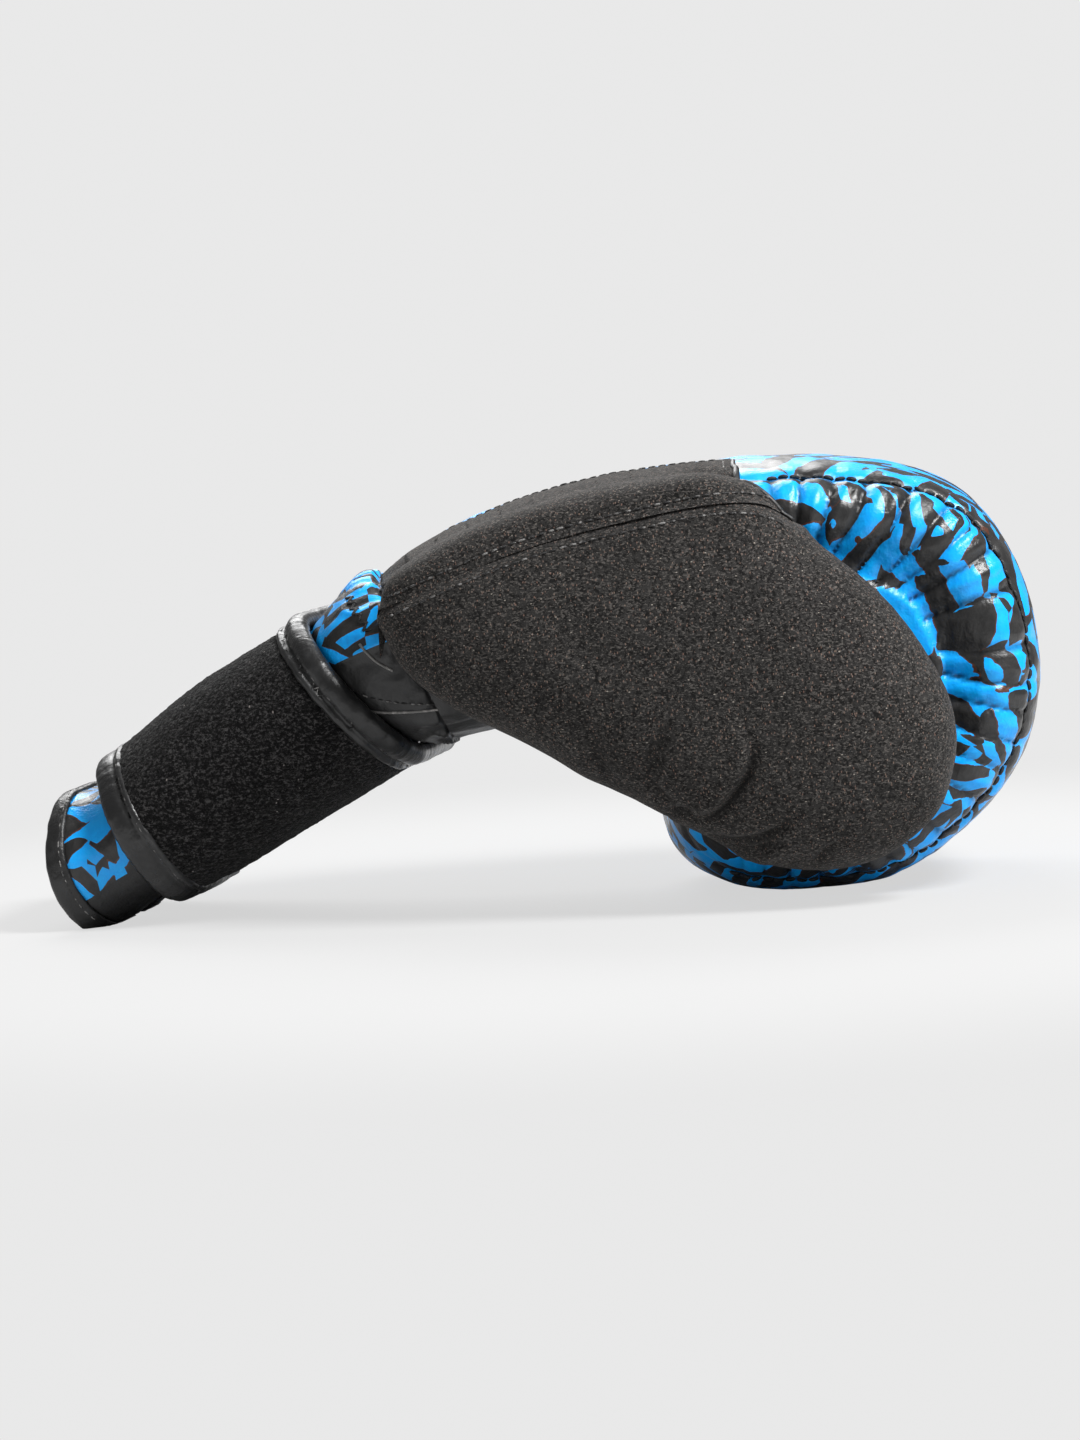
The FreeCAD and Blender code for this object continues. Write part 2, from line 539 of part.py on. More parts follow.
def strap_piece(name, where, inner, wall, front, rear):
    """One layer of one length of the strap; inner is its distance from the strap's inner face."""
    item = body(f"strap_{where}_{name}")
    profile = sketch_on(item, "YZ_Plane", item.Label + "_profile")
    gap = 0.5 * PART_GAP
    if where == "side":
        small, large = SIDE_RADIUS + inner, SIDE_RADIUS + inner + wall
        middle = Vector(-CORNER - gap, SIDE_CENTRE, 0)
        for radius in (small, large):
            circle = Part.Circle(middle, Vector(0, 0, 1), radius)
            profile.addGeometry(Part.ArcOfCircle(circle, 0.5 * math.pi, 1.5 * math.pi), False)
        for side in (1, -1):
            ends = [middle + Vector(0, side * radius, 0) for radius in (small, large)]
            profile.addGeometry(Part.LineSegment(*ends), False)
        for i in range(4):
            profile.addConstraint(Sketcher.Constraint("Block", i))
    elif where == "palm":
        top = -UNDER_IN - inner
        draw_outline(profile, [(-CORNER + gap, top), (size("strap_root"), top),
                               (size("strap_root"), top - wall), (-CORNER + gap, top - wall)])
    else:
        low = TOP_IN + inner
        draw_outline(profile, [(-CORNER + gap, low), (size("strap_tip"), low),
                               (size("strap_tip"), low + wall), (-CORNER + gap, low + wall)])
    pad = item.newObject("PartDesign::Pad", item.Label + "_length")
    pad.Profile = profile
    pad.Midplane = True
    pad.Length = 4 * CUFF_END
    doc.recompute()
    between_edges(item, front, rear)
    return item


FRONT = (size("strap_front_palm"), size("strap_front_back"))
REAR = (size("strap_rear_palm"), size("strap_rear_back"))
TAPE = size("edge_tape")


def moved(edge, distance):
    """A strap edge moved along the cuff, away from the hand."""
    return (edge[0] + distance, edge[1] + distance)


for where in ("palm", "side", "end"):
    inside = (moved(FRONT, TAPE + PART_GAP), moved(REAR, -TAPE - PART_GAP))
    strap_piece("web", where, 0.0, size("web_wall"), *inside)
    strap_piece("pile", where, size("web_wall") + PLY_GAP, size("pile_wall"), *inside)
    strap_piece("front_tape", where, 0.0, HINGE_OUT, FRONT, moved(FRONT, TAPE))
    strap_piece("rear_tape", where, 0.0, HINGE_OUT, moved(REAR, -TAPE), REAR)

hook_pad = body("hook_pad")
profile = sketch_on(hook_pad, "YZ_Plane", "hook_pad_profile")
HOOK_TOP = TOP_IN - 0.5 * PLY_GAP
HOOK_LOW = HOOK_TOP - size("hook_wall")
HOOK_FROM, HOOK_TO = size("strap_tip") - size("hook_length"), size("strap_tip")
draw_outline(profile, [(HOOK_FROM, HOOK_TOP), (HOOK_TO, HOOK_TOP),
                       (HOOK_TO, HOOK_LOW), (HOOK_FROM, HOOK_LOW)])
pad = hook_pad.newObject("PartDesign::Pad", "hook_pad_length")
pad.Profile = profile
pad.Midplane = True
pad.Length = 4 * CUFF_END
doc.recompute()
between_edges(hook_pad, moved(FRONT, TAPE), moved(REAR, -TAPE))


# ---------------------------------------------------------------- neck between mitt and cuff
def ring(centre, along, up, half_width, half_depth, power):
    """A smooth oval; power 2 is an ellipse, more is squarer."""
    spots = []
    for i in range(24):
        angle = 2 * math.pi * i / 24
        a = math.copysign(abs(math.cos(angle)) ** (2 / power), math.cos(angle))
        b = math.copysign(abs(math.sin(angle)) ** (2 / power), math.sin(angle))
        spots.append(centre + along * (half_width * a) + up * (half_depth * b))
    curve = Part.BSplineCurve()
    curve.interpolate(Points=spots, PeriodicFlag=True, Parameters=[float(i) for i in range(25)])
    return Part.Wire([curve.toShape()])


def neck(wall):
    """The neck's outer form, less wall."""
    wrist_up = (WRIST_TOP - WRIST_PALM).normalize()
    wrist_high = 0.5 * (WRIST_TOP - WRIST_PALM).Length
    along = CUFF_PLACE.Rotation.multVec(Vector(1, 0, 0))
    aside = CUFF_PLACE.Rotation.multVec(Vector(0, 1, 0))
    up = CUFF_PLACE.Rotation.multVec(Vector(0, 0, 1))
    near = ring(WRIST + TO_CUFF * PART_GAP, Vector(0, 1, 0), wrist_up,
                -side_y(WRIST.x) - wall, wrist_high - wall, 3.2)
    far = ring(WRIST - along * (CUFF_FROM - PART_GAP), aside, up, CUFF_A - wall, CUFF_B - wall, 2.7)
    return Part.makeLoft([near, far], True, False)


neck_skin = neck(0.0).cut(neck(COVER))
neck_split = half_space(WRIST, CUFF_PLACE.Rotation.multVec(Vector(0, 0, 1)), 0.5 * PART_GAP)
neck_other = half_space(WRIST, CUFF_PLACE.Rotation.multVec(Vector(0, 0, -1)), 0.5 * PART_GAP)
feature("neck_back_cover", kept(neck_skin.common(neck_split)))
feature("neck_palm_cover", kept(neck_skin.common(neck_other)))
LINING_AT = COVER + size("cuff_foam_wall") + 2 * LAYER_GAP
feature("neck_lining", kept(neck(LINING_AT).cut(neck(LINING_AT + LINING))))

# ---------------------------------------------------------------- grip bar
grip_bar = body("grip_bar", Placement(GRIP, Rotation()))
circle = sketch_on(grip_bar, "XZ_Plane", "grip_bar_profile")
circle.addGeometry(Part.Circle(Vector(0, 0, 0), Vector(0, 0, 1), size("grip_radius")), False)
circle.addConstraint(Sketcher.Constraint("Coincident", 0, 3, -1, 1))
grip_rule = circle.addConstraint(Sketcher.Constraint("Radius", 0, size("grip_radius")))
circle.setExpression(f"Constraints[{grip_rule}]", "sizes.grip_radius")
pad = grip_bar.newObject("PartDesign::Pad", "grip_bar_length")
pad.Profile = circle
pad.Midplane = True
pad.setExpression("Length", "2 * (sizes.mitt_half_width - sizes.cover_wall - sizes.side_foam - 2)")
doc.recompute()
rounds = grip_bar.newObject("PartDesign::Fillet", "grip_bar_ends")
rounds.Base = (pad, [f"Edge{i}" for i, e in enumerate(pad.Shape.Edges, start=1) if len(e.Vertexes) == 1])
rounds.setExpression("Radius", "sizes.grip_round")
doc.recompute()

# ---------------------------------------------------------------- stand it on the table and write it out
surface = []
for item, place in subparts:
    item.Placement = place
doc.recompute()
for item, place in subparts:
    surface += item.Shape.tessellate(0.2)[0]
middle_x = 0.5 * (min(p.x for p in surface) + max(p.x for p in surface))
middle_y = 0.5 * (min(p.y for p in surface) + max(p.y for p in surface))
to_origin = Vector(-middle_x, -middle_y, -min(p.z for p in surface))
for item, place in subparts:
    item.Placement = Placement(to_origin, Rotation()) * place
doc.recompute()

for item in doc.Objects:
    if "Invalid" in item.State or "Error" in item.State:
        raise SystemExit(f"{item.Label} failed: {item.State}")
for item, place in subparts:
    if item.Shape.isNull() or not item.Shape.isValid():
        raise SystemExit(f"{item.Label} has no valid shape")
for item, place in subparts:
    item.Shape.exportStep(f"parts/{item.Label}.step")
print(len(subparts), "sub-parts;", "moved by", to_origin)
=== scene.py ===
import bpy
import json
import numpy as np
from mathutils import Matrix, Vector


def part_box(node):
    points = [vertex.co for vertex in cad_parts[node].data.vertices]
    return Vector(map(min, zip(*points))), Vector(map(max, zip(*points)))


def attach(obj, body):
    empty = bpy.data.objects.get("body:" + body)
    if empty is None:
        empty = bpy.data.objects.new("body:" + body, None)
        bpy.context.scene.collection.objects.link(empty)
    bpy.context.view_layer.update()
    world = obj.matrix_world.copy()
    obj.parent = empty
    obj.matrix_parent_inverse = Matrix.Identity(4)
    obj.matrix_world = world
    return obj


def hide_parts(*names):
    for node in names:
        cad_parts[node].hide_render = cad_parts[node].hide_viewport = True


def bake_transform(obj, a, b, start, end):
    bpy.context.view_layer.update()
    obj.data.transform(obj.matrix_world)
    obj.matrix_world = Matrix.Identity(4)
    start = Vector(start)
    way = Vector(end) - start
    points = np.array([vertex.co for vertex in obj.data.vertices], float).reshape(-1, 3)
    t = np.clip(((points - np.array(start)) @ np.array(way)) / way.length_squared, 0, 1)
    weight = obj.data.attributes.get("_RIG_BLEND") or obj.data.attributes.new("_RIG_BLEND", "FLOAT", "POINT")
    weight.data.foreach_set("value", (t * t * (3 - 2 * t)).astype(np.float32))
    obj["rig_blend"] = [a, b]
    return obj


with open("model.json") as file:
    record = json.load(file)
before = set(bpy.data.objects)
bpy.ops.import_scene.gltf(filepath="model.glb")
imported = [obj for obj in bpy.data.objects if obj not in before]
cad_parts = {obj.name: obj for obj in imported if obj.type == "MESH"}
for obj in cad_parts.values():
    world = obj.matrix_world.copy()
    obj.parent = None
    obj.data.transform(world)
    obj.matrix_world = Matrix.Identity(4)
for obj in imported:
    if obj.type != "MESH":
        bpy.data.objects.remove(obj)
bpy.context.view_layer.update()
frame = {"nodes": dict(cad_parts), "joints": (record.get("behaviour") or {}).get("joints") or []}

import json
import math

import bmesh
import bpy
import numpy as np
from mathutils import Matrix, Vector, noise
from mathutils.bvhtree import BVHTree

# A left-hand boxing glove: padded mitt, suede thumb, neck, long cuff and a wide strap of loop pile.
# Metres. +X runs from the cuff to the knuckles, +Y to the little finger, +Z to the back of the hand.

JOINTS = {joint["name"]: joint for joint in frame["joints"]}
MM = 0.001

# ---------------------------------------------------------------- sizes shared with the frame
MITT_LENGTH, MITT_HEIGHT = 196 * MM, 130 * MM
MITT_HALF = 50 * MM                  # half width at the middle of the mitt
TAPER = 1.2                          # share of the width gained per metre towards the knuckles
EDGE_RUN, EDGE_DROP = 24 * MM, 14 * MM
CROWN = 4.5 * MM                     # how far the skin falls from its middle to its sides
THUMB_DEPTH, THUMB_GAP, BELLY = 38 * MM, 0.8 * MM, 14 * MM
CUFF_A, CUFF_B = 43 * MM, 22 * MM
CUFF_FROM, CUFF_END = 10 * MM, 118 * MM
RIM_TAPE = 6 * MM
STRAP_ROOT, STRAP_TIP = 20 * MM, 19 * MM
STRAP_WALL = 3.3 * MM
FRONT_EDGE = (8.5 * MM, 19 * MM)     # strap's front edge: on the palm side, on the back
REAR_EDGE = (99 * MM, 98 * MM)

KNUCKLE = np.array(JOINTS["finger_curl"]["pos_m"])
ROOT_X = KNUCKLE[0] - 0.845 * MITT_LENGTH
ROOT_Z = KNUCKLE[2] - 0.935 * MITT_HEIGHT
MIDDLE_Y = float(sum(corner.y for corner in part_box("back_cover")) / 2)
TAPER_FROM = ROOT_X + 0.52 * MITT_LENGTH

MITT_OUTLINE = [
    (-0.16, 0.640), (-0.06, 0.739), (0.0, 0.788), (0.09, 0.866), (0.2, 0.930), (0.345, 0.978),
    (0.485, 1.000), (0.6, 1.006), (0.7, 0.999), (0.77, 0.984), (0.85, 0.950), (0.915, 0.890),
    (0.965, 0.790), (0.993, 0.690), (1.008, 0.580), (1.011, 0.485), (0.999, 0.37), (0.972, 0.275),
    (0.930, 0.186), (0.880, 0.115), (0.828, 0.060), (0.768, 0.018), (0.71, 0.0), (0.624, -0.004),
    (0.54, 0.008), (0.475, 0.048), (0.43, 0.110), (0.413, 0.19), (0.418, 0.265), (0.47, 0.355),
    (0.55, 0.392), (0.62, 0.4), (0.668, 0.418), (0.686, 0.448), (0.664, 0.476), (0.6, 0.484),
    (0.48, 0.475), (0.34, 0.452), (0.2, 0.418), (0.108, 0.385), (0.02, 0.345), (-0.08, 0.295),
]
LEAF_OUTLINE = [
    (0.004, 0.735), (0.022, 0.79), (0.085, 0.845), (0.2, 0.902), (0.345, 0.952), (0.485, 0.982),
    (0.548, 0.980), (0.595, 0.940), (0.632, 0.875), (0.671, 0.812), (0.728, 0.740), (0.784, 0.645),
    (0.825, 0.540), (0.851, 0.448), (0.858, 0.370), (0.848, 0.285), (0.828, 0.213), (0.788, 0.148),
    (0.734, 0.100), (0.674, 0.082), (0.615, 0.086), (0.556, 0.108), (0.494, 0.152), (0.450, 0.188),
    (0.390, 0.243), (0.318, 0.307), (0.245, 0.379), (0.173, 0.441), (0.085, 0.520), (0.040, 0.585),
    (0.014, 0.662),
]
THUMB_SEAM = [
    (0.010, 0.722), (0.09, 0.770), (0.17, 0.815), (0.30, 0.869), (0.42, 0.902), (0.53, 0.921),
    (0.595, 0.905), (0.630, 0.872),
]
OUTSIDE_Y = -120 * MM                # a place beyond the thumb, from which rays look for its outer side


# ---------------------------------------------------------------- numbers and curves
def smooth(value, low, high):
    """0 below low, 1 above high, eased in between."""
    t = np.clip((value - low) / (high - low), 0, 1)
    return t * t * (3 - 2 * t)


def hump(value, middle, width):
    """1 at middle, falling off over width."""
    return np.exp(-((value - middle) / width) ** 2)


def side_spots(points):
    """Places in the side view, from shares of the mitt's length and height, as rows of x, z."""
    shares = np.array(points, float)
    return np.column_stack([ROOT_X + shares[:, 0] * MITT_LENGTH, ROOT_Z + shares[:, 1] * MITT_HEIGHT])


def run_of(line):
    """How far along a line each of its places lies."""
    return np.concatenate([[0], np.cumsum(np.linalg.norm(np.diff(line, axis=0), axis=1))])


def spline(points, count, closed=False):
    """Evenly spaced places along a smooth line through the points."""
    p = np.array(points, float)
    if closed:
        p = np.vstack([p, p[:1]])
    t = run_of(p)
    n, h = len(p), np.diff(t)
    rows, right = np.zeros((n, n)), np.zeros((n, p.shape[1]))
    slope = np.diff(p, axis=0) / h[:, None]
    for i in range(1, n - 1):
        rows[i, i - 1:i + 2] = h[i - 1], 2 * (h[i - 1] + h[i]), h[i]
        right[i] = 6 * (slope[i] - slope[i - 1])
    rows[0, 0] = rows[-1, -1] = 1
    if closed:
        rows[0, -1] = -1
        rows[-1, 0], rows[-1, 1], rows[-1, -2] = 2 * h[0], h[0], h[-1]
        rows[-1, -1] = 2 * h[-1]
        right[-1] = 6 * (slope[0] - slope[-1])
    bend = np.linalg.solve(rows, right)
    fine = np.linspace(0, t[-1], 40 * n)
    k = np.clip(np.searchsorted(t, fine, "right") - 1, 0, n - 2)
    a, b = (t[k + 1] - fine)[:, None], (fine - t[k])[:, None]
    w = h[k][:, None]
    line = (bend[k] * a ** 3 + bend[k + 1] * b ** 3) / (6 * w)
    line += (p[k] / w - bend[k] * w / 6) * a + (p[k + 1] / w - bend[k + 1] * w / 6) * b
    run = run_of(line)
    stops = np.linspace(0, run[-1], count + 1)[:-1] if closed else np.linspace(0, run[-1], count)
    return np.column_stack([np.interp(stops, run, line[:, c]) for c in range(line.shape[1])])


def inward(line, closed=False):
    """Unit normals to the right of a line in the side view, which is inwards on a clockwise outline."""
    if closed:
        way = np.roll(line, -1, axis=0) - np.roll(line, 1, axis=0)
    else:
        way = np.gradient(line, axis=0)
    way /= np.linalg.norm(way, axis=1)[:, None]
    return np.column_stack([way[:, 1], -way[:, 0]])


def side_y(x, spread):
    """Y of a place at x that lies spread from the mitt's middle where the width is nominal."""
    return MIDDLE_Y + spread * (1 + TAPER * (x - TAPER_FROM))


def spread_of(co):
    """How far places lie from the mitt's middle, as if the width were nominal everywhere."""
    return (co[:, 1] - MIDDLE_Y) / (1 + TAPER * (co[:, 0] - TAPER_FROM))


def at_side(flat, y):
    """Places in the side view, given a Y."""
    return np.column_stack([flat[:, 0], np.broadcast_to(y, len(flat)), flat[:, 1]])


def rough(points, scale, seed=0.0, octaves=1):
    """Smooth noise at places, about -1 to 1; scale is the size of a bump in metres."""
    shift = Vector((seed * 13.7, seed * 7.1, seed * 3.3))
    total = np.zeros(len(points))
    for octave in range(octaves):
        size, weight = scale / 2 ** octave, 0.5 ** octave
        total += weight * np.array([noise.noise(Vector(p) / size + shift) for p in points])
    return total


# ---------------------------------------------------------------- meshes
def new_object(name, vertices, faces, soft=True):
    """A mesh object from places and faces."""
    mesh = bpy.data.meshes.new(name)
    mesh.from_pydata([tuple(v) for v in vertices], [], [tuple(f) for f in faces])
    mesh.validate()
    if soft:
        mesh.shade_smooth()
    made = bpy.data.objects.new(name, mesh)
    bpy.context.scene.collection.objects.link(made)
    return made


def grid_faces(rows, columns, wrap=False, flip=False):
    """Quads over rows x columns places; wrap joins the last column to the first."""
    faces = []
    for r in range(rows - 1):
        for c in range(columns if wrap else columns - 1):
            d = (c + 1) % columns
            quad = (r * columns + c, r * columns + d, (r + 1) * columns + d, (r + 1) * columns + c)
            faces.append(quad[::-1] if flip else quad)
    return faces


def ringed(name, vertices, rows, columns, flip=False):
    """A closed form from rows of places; each row is a ring, and both ends are capped."""
    caps = [list(range(columns))[::-1], [(rows - 1) * columns + i for i in range(columns)]]
    faces = grid_faces(rows, columns, wrap=True, flip=flip)
    return new_object(name, vertices, faces + [cap[::-1] if flip else cap for cap in caps])


def face_out(made):
    """Makes every face of a closed form look outwards."""
    turn = bmesh.new()
    turn.from_mesh(made.data)
    bmesh.ops.recalc_face_normals(turn, faces=turn.faces)
    turn.to_mesh(made.data)
    turn.free()


def places(made):
    """A mesh's vertices as an array."""
    co = np.zeros(len(made.data.vertices) * 3)
    made.data.vertices.foreach_get("co", co)
    return co.reshape(-1, 3)


def set_places(made, co):
    """Moves a mesh's vertices."""
    made.data.vertices.foreach_set("co", co.astype(np.float32).ravel())
    made.data.update()


def normals_of(made):
    """A mesh's vertex normals as an array."""
    out = np.zeros(len(made.data.vertices) * 3)
    made.data.vertex_normals.foreach_get("vector", out)
    return out.reshape(-1, 3)


def keep_attribute(made, name, values):
    """Stores a number or a vector at every vertex, for the materials."""
    kind, key = ("FLOAT", "value") if values.ndim == 1 else ("FLOAT_VECTOR", "vector")
    layer = made.data.attributes.new(name, kind, "POINT")
    layer.data.foreach_set(key, values.astype(np.float32).ravel())


def apply_modifiers(made):
    """Bakes an object's modifiers into its mesh."""
    graph = bpy.context.evaluated_depsgraph_get()
    mesh = bpy.data.meshes.new_from_object(made.evaluated_get(graph))
    old = made.data
    made.modifiers.clear()
    made.data = mesh
    bpy.data.meshes.remove(old)


def remeshed(made, voxel, rounds):
    """Turns a closed form into an even, softened mesh."""
    step = made.modifiers.new("even", "REMESH")
    step.mode = "VOXEL"
    step.voxel_size = voxel
    step.use_smooth_shade = True
    soften = made.modifiers.new("soften", "SMOOTH")
    soften.factor = 0.5
    soften.iterations = rounds
    apply_modifiers(made)


def part_of(name, made, faces_kept, normals):
    """A new object from some faces of a mesh, shaded as if it were still part of the whole."""
    chosen = [list(p.vertices) for p, keep in zip(made.data.polygons, faces_kept) if keep]
    used = np.unique(np.concatenate([np.array(face) for face in chosen]))
    place_of = np.full(len(made.data.vertices), -1)
    place_of[used] = np.arange(len(used))
    co = places(made)[used]
    faces = [[int(place_of[v]) for v in face] for face in chosen]
    piece = new_object(name, co, faces)
    for layer in made.data.attributes:
        if layer.domain == "POINT" and layer.name != "position" and not layer.name.startswith("."):
            width, key = {"FLOAT": (1, "value"), "FLOAT_VECTOR": (3, "vector")}.get(layer.data_type, (0, ""))
            if width:
                values = np.zeros(len(made.data.vertices) * width)
                layer.data.foreach_get(key, values)
                values = values.reshape(-1, width)[used]
                keep_attribute(piece, layer.name, values if width == 3 else values[:, 0])
    piece.data.normals_split_custom_set_from_vertices([tuple(n) for n in normals[used]])
    return piece


def tube(name, path, radius, sides):
    """A round cord along a path, with closed ends."""
    path = np.array(path, float)
    way = np.gradient(path, axis=0)
    way /= np.linalg.norm(way, axis=1)[:, None]
    across = np.cross(way, [0.0, 0.0, 1.0])
    across /= np.linalg.norm(across, axis=1)[:, None]
    up = np.cross(across, way)
    radius = np.broadcast_to(radius, len(path))
    rings = []
    for i in range(len(path)):
        for s in range(sides):
            a = 2 * math.pi * s / sides
            rings.append(path[i] + (across[i] * math.cos(a) + up[i] * math.sin(a)) * radius[i])
    return ringed(name, rings, len(path), sides)


STITCH_RINGS = ((-0.5, 0.25), (-0.36, 0.9), (0.0, 1.0), (0.36, 0.9), (0.5, 0.25))


def stitches(name, path, normals, pitch, length, radius, zigzag=0.0, lift=0.1 * MM):
    """A row of separate stitches lying on a surface along a path; zigzag slants them by turns."""
    path, normals = np.array(path, float), np.array(normals, float)
    run = run_of(path)
    count = max(2, int(run[-1] / pitch))
    vertices, faces = [], []
    for k in range(count):
        middle = (k + 0.5) * run[-1] / count
        at = [np.array([np.interp(middle + d, run, path[:, c]) for c in range(3)])
              for d in (-0.5 * length, 0, 0.5 * length)]
        up = np.array([np.interp(middle, run, normals[:, c]) for c in range(3)])
        up /= np.linalg.norm(up)
        way = at[2] - at[0]
        way /= np.linalg.norm(way)
        side = np.cross(way, up)
        side /= np.linalg.norm(side)
        way = way + side * (zigzag if k % 2 else -zigzag)
        way /= np.linalg.norm(way)
        side = np.cross(way, up)
        base = len(vertices)
        for along, wide in STITCH_RINGS:
            for s in range(6):
                a = math.pi * s / 3
                spot = at[1] + way * along * length + up * lift * (1 - 4 * along * along)
                vertices.append(spot + (side * math.cos(a) + up * math.sin(a)) * radius * wide)
        for r in range(len(STITCH_RINGS) - 1):
            for s in range(6):
                t = (s + 1) % 6
                faces.append((base + r * 6 + s, base + r * 6 + t, base + r * 6 + 6 + t, base + r * 6 + 6 + s))
        faces.append([base + s for s in range(6)][::-1])
        faces.append([base + (len(STITCH_RINGS) - 1) * 6 + s for s in range(6)])
    return new_object(name, vertices, faces)


def tree_of(*objects):
    """A search tree over meshes, to drop seams and stitches on them."""
    vertices, faces = [], []
    for made in objects:
        base = len(vertices)
        vertices += [Vector(v) for v in places(made)]
        faces += [[base + v for v in p.vertices] for p in made.data.polygons]
    return BVHTree.FromPolygons(vertices, faces)


def dropped(tree, path, lift=0.0):
    """The nearest surface places to a path, with the surface's normals."""
    spots, ups = [], []
    for p in path:
        where, up = tree.find_nearest(Vector(p))[:2]
        spots.append(np.array(where) + np.array(up) * lift)
        ups.append(np.array(up))
    return np.array(spots), np.array(ups)


def cast(tree, path, way, lift=0.0):
    """Where rays from a path first meet a surface, with its normals; rays that miss are left out."""
    spots, ups = [], []
    for p in path:
        where, up = tree.ray_cast(Vector(p), Vector(way))[:2]
        if where is not None:
            up = np.array(up) * (-1 if np.dot(up, way) > 0 else 1)
            spots.append(np.array(where) + up * lift)
            ups.append(up)
    return np.array(spots), np.array(ups)


# ---------------------------------------------------------------- materials
class Value:
    """A socket of a material's node; Python's arithmetic on it adds Math nodes."""

    def __init__(self, finish, socket):
        self.finish, self.socket = finish, socket

    def math(self, operation, *others):
        return self.finish.add("ShaderNodeMath", {"operation": operation}, dict(enumerate((self, *others))))

    def __add__(self, other):
        return self.math("ADD", other)

    def __sub__(self, other):
        return self.math("SUBTRACT", other)

    def __rsub__(self, other):
        return self.finish.add("ShaderNodeMath", {"operation": "SUBTRACT"}, {0: other, 1: self})

    def __mul__(self, other):
        return self.math("MULTIPLY", other)

    __radd__, __rmul__ = __add__, __mul__

    def out(self, name):
        return Value(self.finish, self.socket.node.outputs[name])


class Finish:
    """A material under construction."""

    def __init__(self, name):
        self.material = bpy.data.materials.new(name)
        self.material.use_nodes = True
        self.nodes, self.links = self.material.node_tree.nodes, self.material.node_tree.links
        self.nodes.clear()
        self.shader = self.nodes.new("ShaderNodeBsdfPrincipled")
        output = self.nodes.new("ShaderNodeOutputMaterial")
        self.links.new(self.shader.outputs[0], output.inputs["Surface"])

    def add(self, kind, settings=None, inputs=None):
        """Adds a node: its settings first, then its sockets' values or links. Gives its first output."""
        node = self.nodes.new(kind)
        for key, value in (settings or {}).items():
            setattr(node, key, value)
        self.feed(node, inputs or {})
        return Value(self, node.outputs[0])

    def feed(self, node, inputs):
        for key, value in inputs.items():
            if isinstance(value, Value):
                self.links.new(value.socket, node.inputs[key])
            else:
                node.inputs[key].default_value = value

    def surface(self, **inputs):
        """Sets the shader's own sockets; an underscore in a name stands for a space."""
        self.feed(self.shader, {key.replace("_", " "): value for key, value in inputs.items()})

    def rest(self):
        """Where a point was at rest, so that patterns stay put when the glove moves."""
        return self.add("ShaderNodeAttribute", {"attribute_name": "rest"}).out("Vector")

    def number(self, name):
        return self.add("ShaderNodeAttribute", {"attribute_name": name}).out("Fac")

    def stretch(self, vector, scale):
        return self.add("ShaderNodeVectorMath", {"operation": "MULTIPLY"}, {0: vector, 1: scale})

    def shift(self, vector, other):
        return self.add("ShaderNodeVectorMath", {"operation": "ADD"}, {0: vector, 1: other})

    def noise(self, vector, scale, detail=2.0, roughness=0.5):
        return self.add("ShaderNodeTexNoise", {}, {"Vector": vector, "Scale": scale, "Detail": detail,
                                                  "Roughness": roughness})

    def cells(self, vector, scale):
        return self.add("ShaderNodeTexVoronoi", {"feature": "F1"}, {"Vector": vector, "Scale": scale})

    def ease(self, value, low, high, start=0.0, end=1.0):
        return self.add("ShaderNodeMapRange", {"interpolation_type": "SMOOTHSTEP"},
                        {"Value": value, "From Min": low, "From Max": high, "To Min": start, "To Max": end})

    def mix(self, share, first, second):
        node = self.add("ShaderNodeMix", {"data_type": "RGBA"}, {"Factor": share}).socket.node
        self.feed(node, {6: first, 7: second})
        return Value(self, node.outputs[2])

    def bump(self, height, strength, distance, under=None):
        inputs = {"Height": height, "Strength": strength, "Distance": distance}
        if under is not None:
            inputs["Normal"] = under
        return self.add("ShaderNodeBump", {}, inputs)


BLUE = (0.0, 0.345, 0.92, 1)
PRINT_EDGE = (0.075, 0.028, 0.017, 1)


def coated_cloth(name, gloss):
    """The start of a coated cloth: fine grain, soft wrinkles and a satin gloss, without its colour."""
    finish = Finish(name)
    rest = finish.rest()
    grain = finish.cells(rest, 1300.0)
    wrinkles = finish.noise(finish.stretch(rest, (1.0, 2.4, 1.0)), 240.0, 4.0, 0.6)
    creases = finish.noise(finish.stretch(rest, (1.6, 0.7, 1.0)), 95.0, 3.0, 0.55)
    normal = finish.bump(grain, 0.15, 0.0002)
    normal = finish.bump(wrinkles, 0.45, 0.0007, normal)
    normal = finish.bump(creases, 0.35, 0.0014, normal)
    worn = finish.noise(rest, 120.0, 3.0)
    finish.surface(Roughness=finish.ease(worn, 0.3, 0.75, gloss - 0.06, gloss + 0.1), Normal=normal,
                   Specular_IOR_Level=0.42)
    return finish


def black_cloth(name, gloss, scale, detail, low, high, dark, light):
    """Plain black coated cloth, paler in worn places."""
    finish = coated_cloth(name, gloss)
    worn = finish.noise(finish.rest(), scale, detail)
    finish.surface(Base_Color=finish.mix(finish.ease(worn, low, high), dark, light))
    return finish.material


